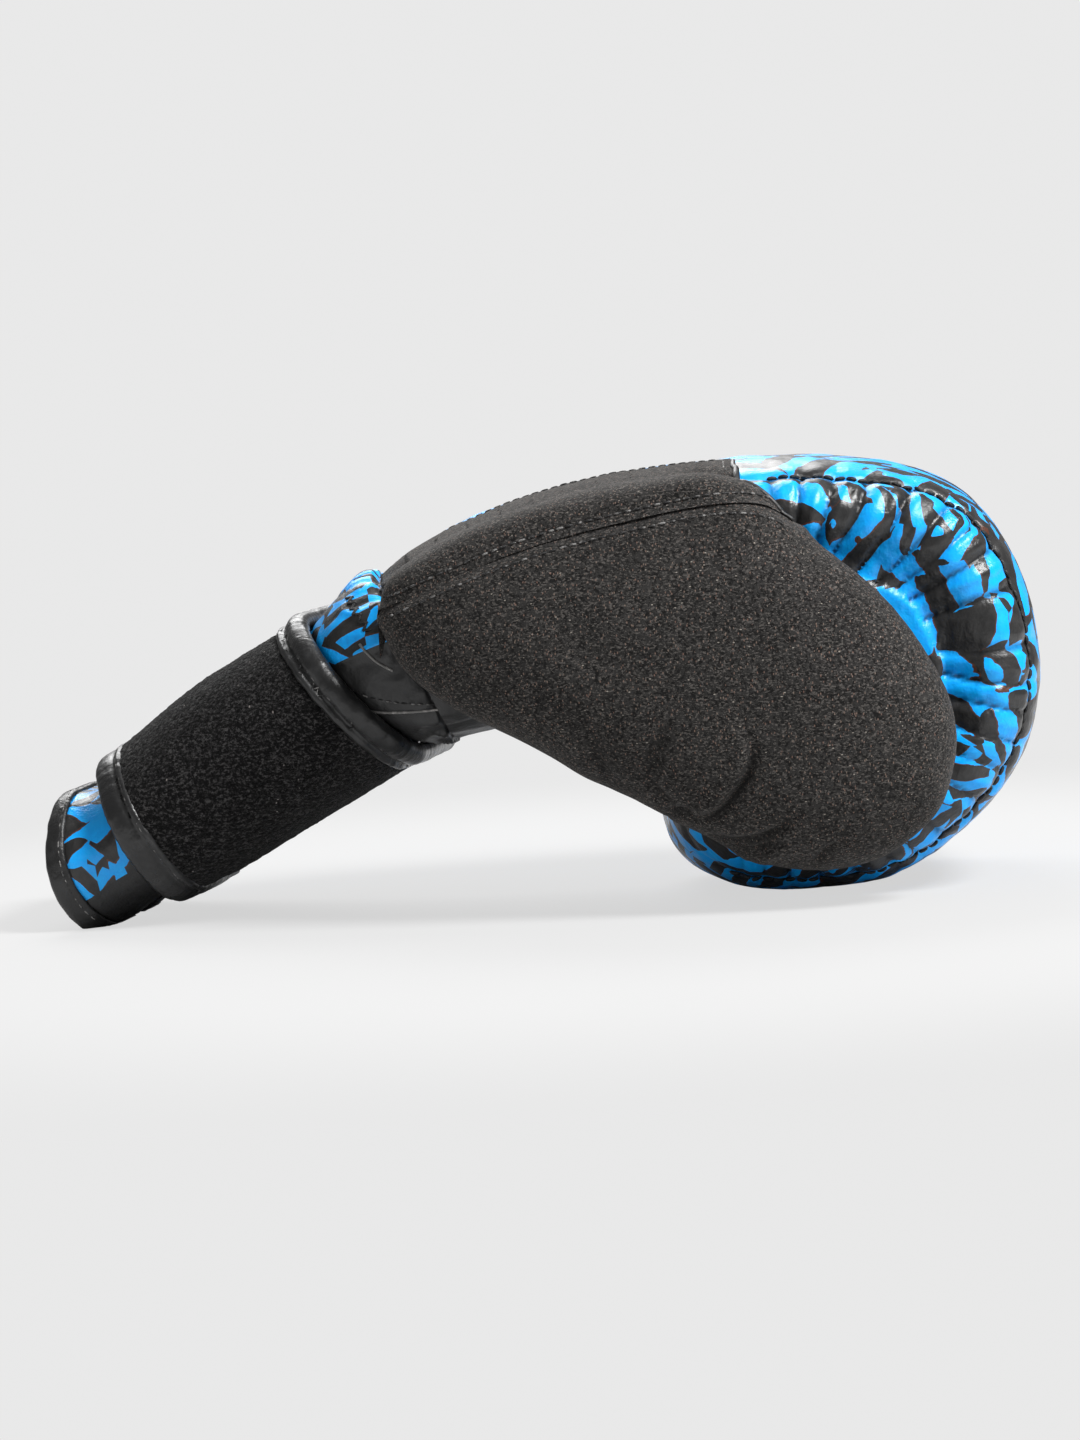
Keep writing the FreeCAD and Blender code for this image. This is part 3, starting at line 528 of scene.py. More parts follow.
def brush_bars(finish, spots, scale, pitch, share):
    """Straight brush strokes that lie another way in every patch; above nought is paint."""
    sway = finish.noise(spots, 60.0, 2.0).out("Color")
    bent = finish.shift(spots, finish.stretch(sway, (0.005, 0.005, 0.005)))
    patch = finish.cells(bent, scale).out("Color")
    way = finish.add("ShaderNodeVectorMath", {"operation": "SUBTRACT"}, {0: patch, 1: (0.5, 0.62, 0.5)})
    way = finish.add("ShaderNodeVectorMath", {"operation": "NORMALIZE"}, {0: way})
    across = finish.add("ShaderNodeVectorMath", {"operation": "DOT_PRODUCT"}, {0: bent, 1: way}).out("Value")
    ragged = finish.noise(finish.stretch(spots, (1.0, 1.0, 1.6)), 210.0, 3.0, 0.6)
    waves = finish.noise(spots, 70.0, 1.0)
    turn = across * (2 * math.pi / pitch) + ragged * 0.45 + waves * 1.6
    return turn.math("SINE") - share


def printed_leather():
    """Black coated cloth with bold blue brush strokes, each edged by a thin brown line."""
    finish = coated_cloth("printed_coated_cloth", 0.35)
    rest = finish.rest()
    spots = finish.add("ShaderNodeAttribute", {"attribute_name": "print"}).out("Vector")
    large = brush_bars(finish, spots, 36.0, 0.015, 0.05)
    small = brush_bars(finish, finish.shift(spots, (0.31, 0.12, 0.22)), 64.0, 0.0078, 0.15)
    choice = finish.ease(finish.noise(spots, 26.0, 1.0), 0.50, 0.52)
    level = large * (1 - choice) + small * choice - finish.number("bare") * 4
    blue = finish.ease(level, 0.0, 0.05)
    edge = finish.ease(level, -0.17, -0.12)
    faded = finish.noise(rest, 300.0, 3.0)
    ink = finish.mix(finish.ease(faded, 0.3, 0.8), BLUE, (0.0, 0.41, 0.97, 1))
    ground = finish.mix(finish.ease(faded, 0.3, 0.7), (0.015, 0.0148, 0.0148, 1), (0.027, 0.0262, 0.026, 1))
    colour = finish.mix(blue, finish.mix(edge, ground, PRINT_EDGE), ink)
    # painted shade: the printed cloth's colour is darkened in the pleat valleys by the crease mask
    finish.surface(Base_Color=finish.mix(finish.number("crease_shade") * 0.75, colour, (0.003, 0.004, 0.006, 1)))
    return finish.material


def suede():
    """Dark brown-black microsuede with a short nap and pale and reddish lint."""
    finish = Finish("dark_suede")
    rest = finish.rest()
    nap = finish.noise(rest, 760.0, 3.0, 0.8)
    cloud = finish.noise(rest, 60.0, 3.0)
    fibre = finish.noise(finish.stretch(rest, (1.0, 1.0, 2.0)), 1000.0, 2.0, 0.75)
    base = finish.mix(finish.ease(cloud, 0.3, 0.7), (0.018, 0.0172, 0.0166, 1), (0.025, 0.0238, 0.023, 1))
    base = finish.mix(finish.ease(nap, 0.44, 0.53, 1.0, 0.0), base, (0.0045, 0.0043, 0.0042, 1))
    base = finish.mix(finish.ease(fibre, 0.53, 0.63) * 0.9, base, (0.086, 0.079, 0.073, 1))
    fine = finish.cells(finish.stretch(rest, (1.0, 1.0, 0.5)), 1050.0)
    tint = finish.mix(fine.out("Color"), (0.26, 0.21, 0.17, 1), (0.24, 0.13, 0.10, 1))
    speck = finish.ease(fine.out("Distance"), 0.12, 0.24, 1.0, 0.0)
    base = finish.mix(speck * 0.55, base, tint)
    lint = finish.cells(finish.stretch(rest, (0.5, 2.0, 1.0)), 480.0)
    hair = finish.ease(lint.out("Distance"), 0.05, 0.10, 1.0, 0.0)
    base = finish.mix(hair * 0.7, base, (0.42, 0.38, 0.33, 1))
    # painted shade: the suede's colour is darkened along the thumb's creases
    base = finish.mix(finish.number("crease_shade") * 0.85, base, (0.004, 0.004, 0.004, 1))
    normal = finish.bump(nap, 0.6, 0.0006)
    normal = finish.bump(fibre, 0.35, 0.0003, normal)
    finish.surface(Base_Color=base, Roughness=0.95, Normal=normal, Specular_IOR_Level=0.2)
    finish.surface(Sheen_Weight=0.12, Sheen_Roughness=0.5, Sheen_Tint=(0.5, 0.48, 0.46, 1))
    return finish.material


def loop_pile():
    """Black fuzzy loop pile."""
    finish = Finish("loop_pile")
    rest = finish.rest()
    curl = finish.noise(finish.stretch(rest, (1.0, 1.0, 1.5)), 820.0, 4.0, 0.85)
    tuft = finish.cells(rest, 800.0)
    clump = finish.noise(rest, 380.0, 3.0, 0.65)
    dark, light = (0.0010, 0.0010, 0.0011, 1), (0.052, 0.050, 0.050, 1)
    base = finish.mix(finish.ease(curl, 0.505, 0.59), dark, light)
    base = finish.mix(finish.ease(clump, 0.38, 0.52, 0.5, 0.0), base, dark)
    lint = finish.cells(finish.stretch(rest, (1.0, 1.6, 0.6)), 190.0)
    speck = finish.ease(lint.out("Distance"), 0.03, 0.06, 1.0, 0.0)
    base = finish.mix(speck * 0.7, base, (0.36, 0.33, 0.31, 1))
    normal = finish.bump(tuft, 0.6, 0.0008)
    normal = finish.bump(curl, 0.8, 0.001, normal)
    normal = finish.bump(clump, 0.5, 0.0012, normal)
    finish.surface(Base_Color=base, Roughness=0.97, Normal=normal, Specular_IOR_Level=0.1, Sheen_Weight=0.05)
    return finish.material


def woven(name, dark, light, scale, roughness=0.85):
    """A plain weave of warp and weft."""
    finish = Finish(name)
    rest = finish.rest()
    warp = finish.add("ShaderNodeTexWave", {"bands_direction": "X"}, {"Vector": rest, "Scale": scale})
    weft = finish.add("ShaderNodeTexWave", {"bands_direction": "Z"}, {"Vector": rest, "Scale": scale})
    weave = warp.out("Fac") * weft.out("Fac")
    fuzz = finish.noise(rest, scale * 2, 3.0)
    colour = finish.mix(finish.ease(weave + fuzz * 0.4, 0.2, 0.9), dark, light)
    finish.surface(Base_Color=colour, Roughness=roughness, Normal=finish.bump(weave, 0.4, 0.0004))
    return finish.material


def thread(name, dark, pale):
    """Sewing thread with a few rubbed fibres."""
    finish = Finish(name)
    rest = finish.rest()
    twist = finish.add("ShaderNodeTexWave", {"bands_direction": "DIAGONAL"}, {"Vector": rest, "Scale": 900.0})
    rubbed = finish.noise(rest, 420.0, 2.0)
    finish.surface(Base_Color=finish.mix(finish.ease(rubbed, 0.5, 0.62), dark, pale), Roughness=0.6,
                   Normal=finish.bump(twist.out("Fac"), 0.4, 0.0002))
    return finish.material


PRINTED, SUEDE, PILE = printed_leather(), suede(), loop_pile()
PLAIN = black_cloth("black_coated_cloth", 0.44, 90.0, 3.0, 0.3, 0.7,
                    (0.015, 0.015, 0.0152, 1), (0.025, 0.025, 0.0255, 1))
TAPE = black_cloth("edge_tape", 0.33, 160.0, 4.0, 0.45, 0.8,
                   (0.012, 0.012, 0.0122, 1), (0.030, 0.030, 0.0305, 1))
THREAD = thread("thread", (0.010, 0.010, 0.010, 1), (0.17, 0.165, 0.16, 1))
ROPE = thread("heavy_thread", (0.004, 0.004, 0.004, 1), (0.02, 0.02, 0.02, 1))
PIPING = thread("piping", (0.16, 0.155, 0.15, 1), (0.30, 0.29, 0.28, 1))
LINING = woven("lining_cloth", (0.012, 0.012, 0.014, 1), (0.035, 0.035, 0.04, 1), 520.0)
ELASTIC = woven("ribbed_elastic", (0.008, 0.008, 0.008, 1), (0.03, 0.03, 0.03, 1), 260.0, 0.75)
HOOKS = woven("hook_tape", (0.006, 0.006, 0.006, 1), (0.03, 0.03, 0.03, 1), 300.0, 0.5)


def finish_piece(made, material):
    """Gives a piece its material and keeps its rest places for the patterns."""
    made.data.materials.clear()
    made.data.materials.append(material)
    for name in ("rest", "print"):
        if name not in made.data.attributes:
            keep_attribute(made, name, places(made))
    return made


# ---------------------------------------------------------------- the mitt's skin
MITT_LINE = spline(side_spots(MITT_OUTLINE), 640)
MITT_IN = inward(MITT_LINE)
MITT_RUN = run_of(MITT_LINE)
WRIST_TOP, WRIST_PALM = side_spots([(0.0, 0.775), (0.108, 0.385)])
FOLD_END, FOLD_MOUTH = side_spots([(0.686, 0.448), (0.47, 0.41)])
PLEAT_CENTRE = side_spots([(0.60, 0.50)])[0]
SEAM_SPREAD = 40.5 * MM
PLEATS = 20.0                        # half waves of pleating to a radian


TO_FINGERS = np.array([KNUCKLE[2] - FOLD_END[1], FOLD_END[0] - KNUCKLE[0]])
TO_FINGERS /= np.linalg.norm(TO_FINGERS)
PAST_WRIST = np.array([WRIST_PALM[1] - WRIST_TOP[1], WRIST_TOP[0] - WRIST_PALM[0]])
PAST_WRIST /= np.linalg.norm(PAST_WRIST)


def run_at(share):
    """How far along the mitt's outline the place nearest to a share of its length and height lies."""
    spot = side_spots([share])[0]
    return MITT_RUN[np.argmin(np.linalg.norm(MITT_LINE - spot, axis=1))]


def skin_inset(spread):
    """How far the skin lies inside the mitt's side view, at a distance from its middle."""
    reach = np.clip((np.abs(spread) - (MITT_HALF - EDGE_RUN)) / EDGE_RUN, 0, 1)
    return EDGE_DROP * (1 - np.sqrt(1 - reach ** 2)) + CROWN * (spread / MITT_HALF) ** 2


def mitt_form():
    """The mitt as one closed, even mesh."""
    quarter = np.linspace(90, 0, 12)
    spreads = [MITT_HALF - EDGE_RUN + EDGE_RUN * math.sin(math.radians(a)) for a in quarter]
    spreads += list(np.linspace(MITT_HALF - EDGE_RUN, 0, 6)[1:-1])
    spreads = [-s for s in spreads] + [0] + spreads[::-1]
    line, into = MITT_LINE[::2], MITT_IN[::2]
    vertices = []
    for spread in spreads:
        flat = line + into * skin_inset(spread)
        vertices += [(x, side_y(x, spread), z) for x, z in flat]
    made = ringed("mitt_form", vertices, len(spreads), len(line))
    turn = bmesh.new()
    turn.from_mesh(made.data)
    bmesh.ops.triangulate(turn, faces=[f for f in turn.faces if len(f.verts) > 4])
    bmesh.ops.recalc_face_normals(turn, faces=turn.faces)
    turn.to_mesh(made.data)
    turn.free()
    remeshed(made, 1.15 * MM, 8)
    turn = bmesh.new()
    turn.from_mesh(made.data)
    cuts = [((WRIST_TOP[0], 0, WRIST_TOP[1]), (PAST_WRIST[0], 0, PAST_WRIST[1])),
            (tuple(KNUCKLE), (TO_FINGERS[0], 0, TO_FINGERS[1]))]
    cuts += [((TAPER_FROM, MIDDLE_Y + s, 0), (-s * TAPER, 1, 0)) for s in (-SEAM_SPREAD, SEAM_SPREAD)]
    for spot, way in cuts:
        bmesh.ops.bisect_plane(turn, geom=turn.verts[:] + turn.edges[:] + turn.faces[:], dist=1e-6,
                               plane_co=spot, plane_no=Vector(way).normalized())
    turn.to_mesh(made.data)
    turn.free()
    return made


def nearest_on_line(flat):
    """For places in the side view: distance along the mitt's outline, and depth inside it."""
    run, depth = np.zeros(len(flat)), np.zeros(len(flat))
    for i in range(0, len(flat), 4000):
        gap = flat[i:i + 4000, None, :] - MITT_LINE[None, :, :]
        k = np.argmin((gap ** 2).sum(2), axis=1)
        rows = np.arange(len(k))
        run[i:i + 4000] = MITT_RUN[k]
        depth[i:i + 4000] = (gap[rows, k] * MITT_IN[k]).sum(1)
    return run, depth


def dress_mitt(made):
    """Adds pleats, seams and wrinkles to the mitt's form, and the numbers that its materials read."""
    co, up = places(made), normals_of(made)
    flat = co[:, [0, 2]]
    run, depth = nearest_on_line(flat)
    spread = spread_of(co)
    wide = np.abs(spread)
    around = flat - PLEAT_CENTRE
    angle = np.arctan2(around[:, 1], around[:, 0])
    reach = np.linalg.norm(around, axis=1)
    front = smooth(run, run_at((0.44, 0.98)), run_at((0.66, 1.0)))
    front *= 1 - smooth(run, run_at((0.62, -0.003)), run_at((0.45, 0.08)))
    across = np.sign(spread) * 4.0
    wander = rough(np.column_stack([angle * 2.2, across, reach * 16]), 1.0, 1)
    turns = angle * PLEATS + 2.2 * wander
    turns += 0.5 * rough(np.column_stack([angle * 7, across, reach * 50]), 1.0, 2)
    fold, crimp = np.abs(np.sin(turns)), np.abs(np.sin(2.3 * turns + 3 * wander))
    side = smooth(wide, SEAM_SPREAD - 1 * MM, SEAM_SPREAD + 5 * MM)
    fade = smooth(reach, 16 * MM, 42 * MM)
    strength = 0.8 + 0.55 * rough(np.column_stack([angle * 5, across, reach * 8]), 1.0, 3)
    gathered = side * front * fade
    lift = gathered * strength * (3.0 * MM * (fold ** 0.4 - 0.77) + 0.7 * MM * (crimp ** 0.6 - 0.7))
    lift += gathered * 0.3 * MM * rough(np.column_stack([angle * 7, across, reach * 330]), 1.0, 8)
    roll = 1.8 * MM * hump(depth, 14 * MM, 8 * MM) - 2.4 * MM * smooth(depth, 20 * MM, 33 * MM)
    lift += side * front * roll
    outer = (1 - side) * front * smooth(wide, 24 * MM, SEAM_SPREAD)
    lift += 0.75 * MM * outer * (fold ** 0.8 - 0.5)
    lift -= 1.0 * MM * hump(wide, SEAM_SPREAD, 1.2 * MM) * (0.5 + 0.5 * front)
    beside = hump(wide, SEAM_SPREAD - 4 * MM, 3 * MM) + hump(wide, SEAM_SPREAD + 4 * MM, 3 * MM)
    lift += 0.6 * MM * beside * front
    lift += 0.45 * MM * rough(co, 16 * MM, 4, 2) + 0.12 * MM * rough(co, 4 * MM, 5)
    count = turns / math.pi
    hidden = 3.4 * MM * (np.floor(count) + smooth(count - np.floor(count), 0.86, 1.0)) * gathered
    palm = smooth(run, run_at((0.62, 0.4)), run_at((0.686, 0.448)))
    ripple = np.sin(run / (3.2 * MM) + 2 * rough(co, 20 * MM, 6))
    lift += 0.35 * MM * ripple * hump(run, run_at((0.686, 0.448)), 22 * MM) * palm
    past = (flat - WRIST_TOP) @ PAST_WRIST          # distance towards the cuff
    gather = np.exp(np.clip(past / (9 * MM), -8, 0))
    ring = np.arctan2(co[:, 2] - 78 * MM, co[:, 1] - MIDDLE_Y)
    lift -= gather * (0.8 * MM + 0.7 * MM * np.abs(np.sin(ring * 15)))
    co = co + up * lift[:, None]
    co[:, 2] = np.maximum(co[:, 2], 0.15 * MM)
    set_places(made, co)
    keep_attribute(made, "rest", co)
    share = (flat - [ROOT_X, ROOT_Z]) / [MITT_LENGTH, MITT_HEIGHT]
    bare = (spread < -SEAM_SPREAD) * smooth(0.9 - share[:, 0] - share[:, 1], 0.0, 0.02) * (share[:, 0] < 0.45)
    keep_attribute(made, "bare", bare)
    # painted shade: a mask of the pleat valleys, where the printed colour is darkened as if shaded
    keep_attribute(made, "crease_shade", gathered * np.clip(strength, 0, 1) * (1 - smooth(fold, 0.05, 0.4)))
    swing = np.column_stack([-np.sin(angle), np.zeros(len(co)), np.cos(angle)])
    keep_attribute(made, "print", co + swing * hidden[:, None])
    return run


def split_mitt(made, run):
    """Cuts the dressed skin into its panels, along the seams and at the knuckle hinge."""
    normals = normals_of(made)
    centres = np.zeros(len(made.data.polygons) * 3)
    made.data.polygons.foreach_get("center", centres)
    centres = centres.reshape(-1, 3)
    corner = np.zeros(len(made.data.polygons), int)
    made.data.polygons.foreach_get("loop_start", corner)
    loops = np.zeros(len(made.data.loops), int)
    made.data.loops.foreach_get("vertex_index", loops)
    first = loops[corner]
    flat = centres[:, [0, 2]]
    ahead = (flat - KNUCKLE[[0, 2]]) @ TO_FINGERS
    fold_way = FOLD_END - FOLD_MOUTH
    under = (flat - FOLD_END) @ np.array([fold_way[1], -fold_way[0]]) > 0
    fist = (ahead > 0) | under
    kept = (flat - WRIST_TOP) @ PAST_WRIST < 0
    spread = spread_of(centres)
    side = np.where(spread < -SEAM_SPREAD, -1, np.where(spread > SEAM_SPREAD, 1, 0))
    inner = run[first] > run_at((0.418, 0.265))
    panels = [
        ("back_panel", ~fist & (side == 0) & ~inner, PRINTED, "back_cover back_foam"),
        ("fist_panel", fist & (side == 0) & ~inner, PRINTED, "fist_cover fist_foam"),
        ("palm_panel", ~fist & (side == 0) & inner, PLAIN, "palm_cover palm_foam"),
        ("finger_grip_panel", fist & (side == 0) & inner, PLAIN, "finger_grip_cover finger_grip_foam grip_bar"),
        ("thumb_side_panel", ~fist & (side < 0), PRINTED, "thumb_side_hand_cover thumb_side_hand_foam"),
        ("thumb_side_fist_panel", fist & (side < 0), PRINTED, "thumb_side_fist_cover thumb_side_fist_foam"),
        ("little_side_panel", ~fist & (side > 0), PRINTED, "little_side_hand_cover little_side_hand_foam"),
        ("little_side_fist_panel", fist & (side > 0), PRINTED, "little_side_fist_cover little_side_fist_foam"),
    ]
    for name, chosen, material, nodes in panels:
        piece = finish_piece(part_of(name, made, chosen & kept, normals), material)
        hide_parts(*nodes.split())
        if "fist" in name or "grip" in name:
            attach(piece, "fingers")
        else:
            bend_at_knuckles(piece)


def bend_at_knuckles(piece):
    """Lets a piece of skin turn with the fingers as it nears the knuckle hinge."""
    back = KNUCKLE - 30 * MM * np.array([TO_FINGERS[0], 0, TO_FINGERS[1]])
    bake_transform(piece, "hand", "fingers", start=tuple(back), end=tuple(KNUCKLE))


mitt = mitt_form()
split_mitt(mitt, dress_mitt(mitt))
MITT_TREE = tree_of(mitt)


def side_seam(label, way, first, last):
    """The heavy stitches along a side panel's seam, in one row before the knuckles and one round the fist."""
    chosen = np.flatnonzero((MITT_RUN >= first) & (MITT_RUN <= last))
    flat = MITT_LINE[chosen] + MITT_IN[chosen] * skin_inset(SEAM_SPREAD)
    row, ups = dropped(MITT_TREE, at_side(flat, side_y(flat[:, 0], way * SEAM_SPREAD)), 0.55 * MM)
    ahead = (flat - KNUCKLE[[0, 2]]) @ TO_FINGERS > 0
    for where, part in (("hand", ~ahead), ("fist", ahead)):
        sewn = stitches(f"{label}_seam_stitches_{where}", row[part], ups[part],
                        3.4 * MM, 3.2 * MM, 0.62 * MM, 0.22, 0.3 * MM)
        finish_piece(sewn, ROPE)
        if where == "fist":
            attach(sewn, "fingers")
        else:
            bend_at_knuckles(sewn)


side_seam("thumb_side", -1, run_at((0.60, 1.0)), run_at((0.5, 0.03)))
side_seam("little_side", 1, run_at((0.03, 0.80)), run_at((0.5, 0.03)))

# ---------------------------------------------------------------- thumb and saddle
LEAF_LINE = spline(side_spots(LEAF_OUTLINE), 420, closed=True)
LEAF_IN = inward(LEAF_LINE, closed=True)
LEAF_CENTRE = side_spots([(0.47, 0.56)])[0]
SEAM_ROOT, SEAM_TIP = side_spots([(0.0, 0.722), (0.63, 0.868)])


def leaf_rows():
    """The thumb's cross-sections from its underside to the top of its dome: (inset, shrink, out)."""
    rows = [(9 * MM, k, THUMB_GAP) for k in (0.05, 0.5, 0.9)]
    for a in np.linspace(-90, 0, 14):
        out = BELLY + (BELLY - THUMB_GAP) * math.sin(math.radians(a))
        rows.append((9 * MM * (1 - math.cos(math.radians(a))), 1.0, out))
    for a in list(np.linspace(0, 80, 66)[1:]) + [82.5, 85, 87.5, 89.3]:
        a = math.radians(a)
        rows.append((0.0, math.cos(a) ** 0.6, BELLY + (THUMB_DEPTH - BELLY) * math.sin(a)))
    return rows


def seam_height(x):
    """Height of the thumb's sewn seam at x."""
    return np.interp(x, SEAM_LINE[:, 0], SEAM_LINE[:, 1])


def dress_thumb(co, up):
    """Puckers, creases and a soft, uneven fill for the thumb, and a mask of painted shade along the creases."""
    flat = co[:, [0, 2]]
    lift = 1.0 * MM * rough(co, 34 * MM, 11, 2) + 0.1 * MM * rough(co, 3 * MM, 12)
    crease_shade = np.zeros(len(co))
    for points, width, depth in THUMB_CREASES:
        line = spline(side_spots(points), 40)
        gap = flat[:, None, :] - line[None, :, :]
        near = np.linalg.norm(gap, axis=2)
        k = near.argmin(1)
        way = np.gradient(line, axis=0)[k]
        left = np.sign(way[:, 0] * gap[np.arange(len(k)), k, 1] - way[:, 1] * gap[np.arange(len(k)), k, 0])
        near = near.min(1)
        fade = np.sin(np.clip(k / 39, 0, 1) * math.pi) ** 0.7
        lift -= 1.4 * depth * fade * hump(near, 0, width)
        lift += 0.7 * depth * fade * hump(near * left, -2.6 * width, 1.6 * width)
        # painted shade: the mask that darkens the suede's colour in each crease
        crease_shade = np.maximum(crease_shade, fade * hump(near, 0, 0.8 * width) * min(1.0, depth / (1.5 * MM)))
    over = co[:, 2] - seam_height(co[:, 0])
    lift += 0.6 * MM * hump(-over, 3.4 * MM, 2.2 * MM) - 0.9 * MM * hump(-over, 0, 1.3 * MM)
    outside = smooth(-co[:, 1], -MIDDLE_Y + MITT_HALF, -MIDDLE_Y + MITT_HALF + 12 * MM)
    tucked = 1.6 * MM * smooth(over, 0.4 * MM, 1.8 * MM) * (co[:, 0] < SEAM_LINE[-1, 0])
    return co + up * (lift * outside - tucked)[:, None], crease_shade * outside


SEAM_LINE = spline(side_spots(THUMB_SEAM), 160)
THUMB_CREASES = [
    ([(0.556, 0.400), (0.545, 0.325), (0.522, 0.272), (0.493, 0.230), (0.455, 0.212)], 1.5 * MM, 2.0 * MM),
    ([(0.318, 0.430), (0.322, 0.370), (0.338, 0.322), (0.352, 0.300)], 2.2 * MM, 0.9 * MM),
    ([(0.430, 0.450), (0.405, 0.370), (0.392, 0.300)], 3.2 * MM, 0.7 * MM),
    ([(0.418, 0.236), (0.440, 0.238), (0.462, 0.232)], 1.2 * MM, 1.0 * MM),
    ([(0.476, 0.180), (0.510, 0.162), (0.550, 0.165), (0.585, 0.188), (0.612, 0.222)], 1.6 * MM, 1.3 * MM),
    ([(0.505, 0.150), (0.545, 0.140), (0.575, 0.150), (0.600, 0.166)], 1.2 * MM, 1.0 * MM),
    ([(0.630, 0.095), (0.650, 0.130), (0.680, 0.160)], 1.2 * MM, 0.8 * MM),
    ([(0.395, 0.320), (0.415, 0.275), (0.435, 0.252)], 1.4 * MM, 0.8 * MM),
    ([(0.540, 0.118), (0.562, 0.150), (0.570, 0.190)], 1.3 * MM, 0.8 * MM),
]


def thumb_form():
    """The whole leaf as a grid of rings."""
    vertices = []
    for inset, shrink, out in leaf_rows():
        flat = LEAF_CENTRE + (LEAF_LINE + LEAF_IN * inset - LEAF_CENTRE) * shrink
        vertices += [(x, side_y(x, -MITT_HALF - out), z) for x, z in flat]
    made = ringed("thumb_form", vertices, len(leaf_rows()), len(LEAF_LINE))
    face_out(made)
    moved, crease_shade = dress_thumb(places(made), normals_of(made))
    set_places(made, moved)
    keep_attribute(made, "crease_shade", crease_shade)
    return made


OVER_SEAM = 3.5 * MM                 # how far the thumb's suede runs on under the saddle


def thumb_skin():
    """The suede thumb, cut above its seam, and search trees of it whole: alone and with the mitt."""
    made = thumb_form()
    trees = tree_of(made), tree_of(mitt, made)
    cutter = bmesh.new()
    cutter.from_mesh(made.data)
    doomed = []
    for face in cutter.faces:
        spot = face.calc_center_median()
        if spot.z > seam_height(spot.x) + OVER_SEAM and spot.x < SEAM_LINE[-1, 0] - 4 * MM:
            doomed.append(face)
    bmesh.ops.delete(cutter, geom=doomed, context="FACES")
    loose = [v for v in cutter.verts if not v.link_faces]
    bmesh.ops.delete(cutter, geom=loose, context="VERTS")
    for v in {v for e in cutter.edges if e.is_boundary for v in e.verts}:
        line = seam_height(v.co.x) + OVER_SEAM
        if v.co.z > line - 3 * MM and v.co.x < SEAM_LINE[-1, 0] - 5 * MM:
            v.co.z = line
            v.co.y += 1.2 * MM * (v.co.y < MIDDLE_Y - MITT_HALF - 12 * MM)
    cutter.to_mesh(made.data)
    cutter.free()
    made.name = "thumb_skin"
    return made, *trees


def bend_at_thumb(piece):
    """Lets a piece turn with the thumb below the line of its seam."""
    way = SEAM_TIP - SEAM_ROOT
    down = np.array([way[1], -way[0]]) / np.linalg.norm(way)
    start = Vector((SEAM_ROOT[0], 0, SEAM_ROOT[1]))
    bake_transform(piece, "hand", "thumb", start=start, end=start + Vector((down[0], 0, down[1])) * 16 * MM)


thumb, LEAF_TREE, BODY_TREE = thumb_skin()
finish_piece(thumb, SUEDE)
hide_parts("thumb_cover", "thumb_inner_cover", "thumb_outer_foam", "thumb_inner_foam")

SADDLE_ACROSS = 46                   # places across the saddle, from the seam to its inner edge
HEM = 6                              # rows of the saddle's turned-under ends


def hemmed(rows):
    """Turns both ends of a sheet under, down into the gap between the thumb and the mitt."""
    down = np.array([0, 0.25, -1]) / math.hypot(0.25, 1)
    ends = []
    for last, before in ((rows[0], rows[1]), (rows[-1], rows[-2])):
        way = (last - before) / np.linalg.norm(last - before, axis=1)[:, None]
        ends.append([last + way * 0.8 * MM * math.sin(t * math.pi / 2) + down * 15 * MM * t ** 1.6
                     for t in np.arange(1, HEM + 1) / HEM])
    return np.concatenate([ends[0][::-1], rows, ends[1]])


def saddle_patch():
    """The suede panel from the thumb's seam up over the edge of the hand."""
    stations, across = 120, SADDLE_ACROSS
    low = spline(side_spots(THUMB_SEAM), stations)
    first, last = run_at((0.005, 0.782)), run_at((0.555, 0.998))
    tops = np.linspace(first, last, stations)
    vertices = []
    for i in range(stations):
        k = np.searchsorted(MITT_RUN, tops[i])
        top, into = MITT_LINE[k], MITT_IN[k]
        start = Vector((low[i, 0], side_y(low[i, 0], -0.12), low[i, 1]))
        foot = LEAF_TREE.ray_cast(start, Vector((0, 1, 0)))[0]
        foot = np.array(LEAF_TREE.find_nearest(start + Vector((0, 50 * MM, 0)))[0] if foot is None else foot)
        marks = [foot]
        for share in (0.45, 0.85):
            flat = low[i] + (top - low[i]) * share
            wall = side_y(flat[0], -MITT_HALF)
            out = wall - (wall - foot[1]) * math.sqrt(max(0.0, 1 - share ** 2))
            marks.append(np.array([flat[0], out, flat[1] + (1.5 * MM if share < 0.6 else 0.6 * MM)]))
        for spread in (-44 * MM, -36 * MM, -24 * MM, -12 * MM):
            filled = smooth(i, 0, 16) * (1 - smooth(i, stations - 24, stations - 1))
            inset = skin_inset(spread) - 1.4 * MM
            flat = top + into * (inset - 0.8 * filled * max(0.0, inset - 0.6 * MM))
            marks.append(np.array([flat[0], side_y(flat[0], spread), flat[1]]))
        vertices += list(spline(marks, across))
    made = new_object("saddle_panel", vertices, grid_faces(stations, across))
    co, up = places(made), normals_of(made)
    station, column = np.repeat(np.arange(stations), across), np.tile(np.arange(across), stations)
    hug = np.maximum.reduce([smooth(column, across * 0.8, across - 1),
                             smooth(station, stations - 18, stations - 1), 1 - smooth(station, 0, 12)])
    lain = dropped(BODY_TREE, co, 0.6 * MM)[0]
    co = co + (lain - co) * hug[:, None]
    over = co[:, 2] - seam_height(co[:, 0])
    near = smooth(-co[:, 1], 55 * MM, 62 * MM)
    lift = 0.5 * MM * rough(co, 22 * MM, 21, 2)
    lift += near * (0.7 * MM * hump(over, 3.4 * MM, 2.2 * MM) - 0.9 * MM * hump(over, 0, 1.3 * MM))
    rows = hemmed((co + up * lift[:, None]).reshape(stations, across, 3))
    bpy.data.objects.remove(made)
    return new_object("saddle_panel", rows.reshape(-1, 3), grid_faces(len(rows), across))


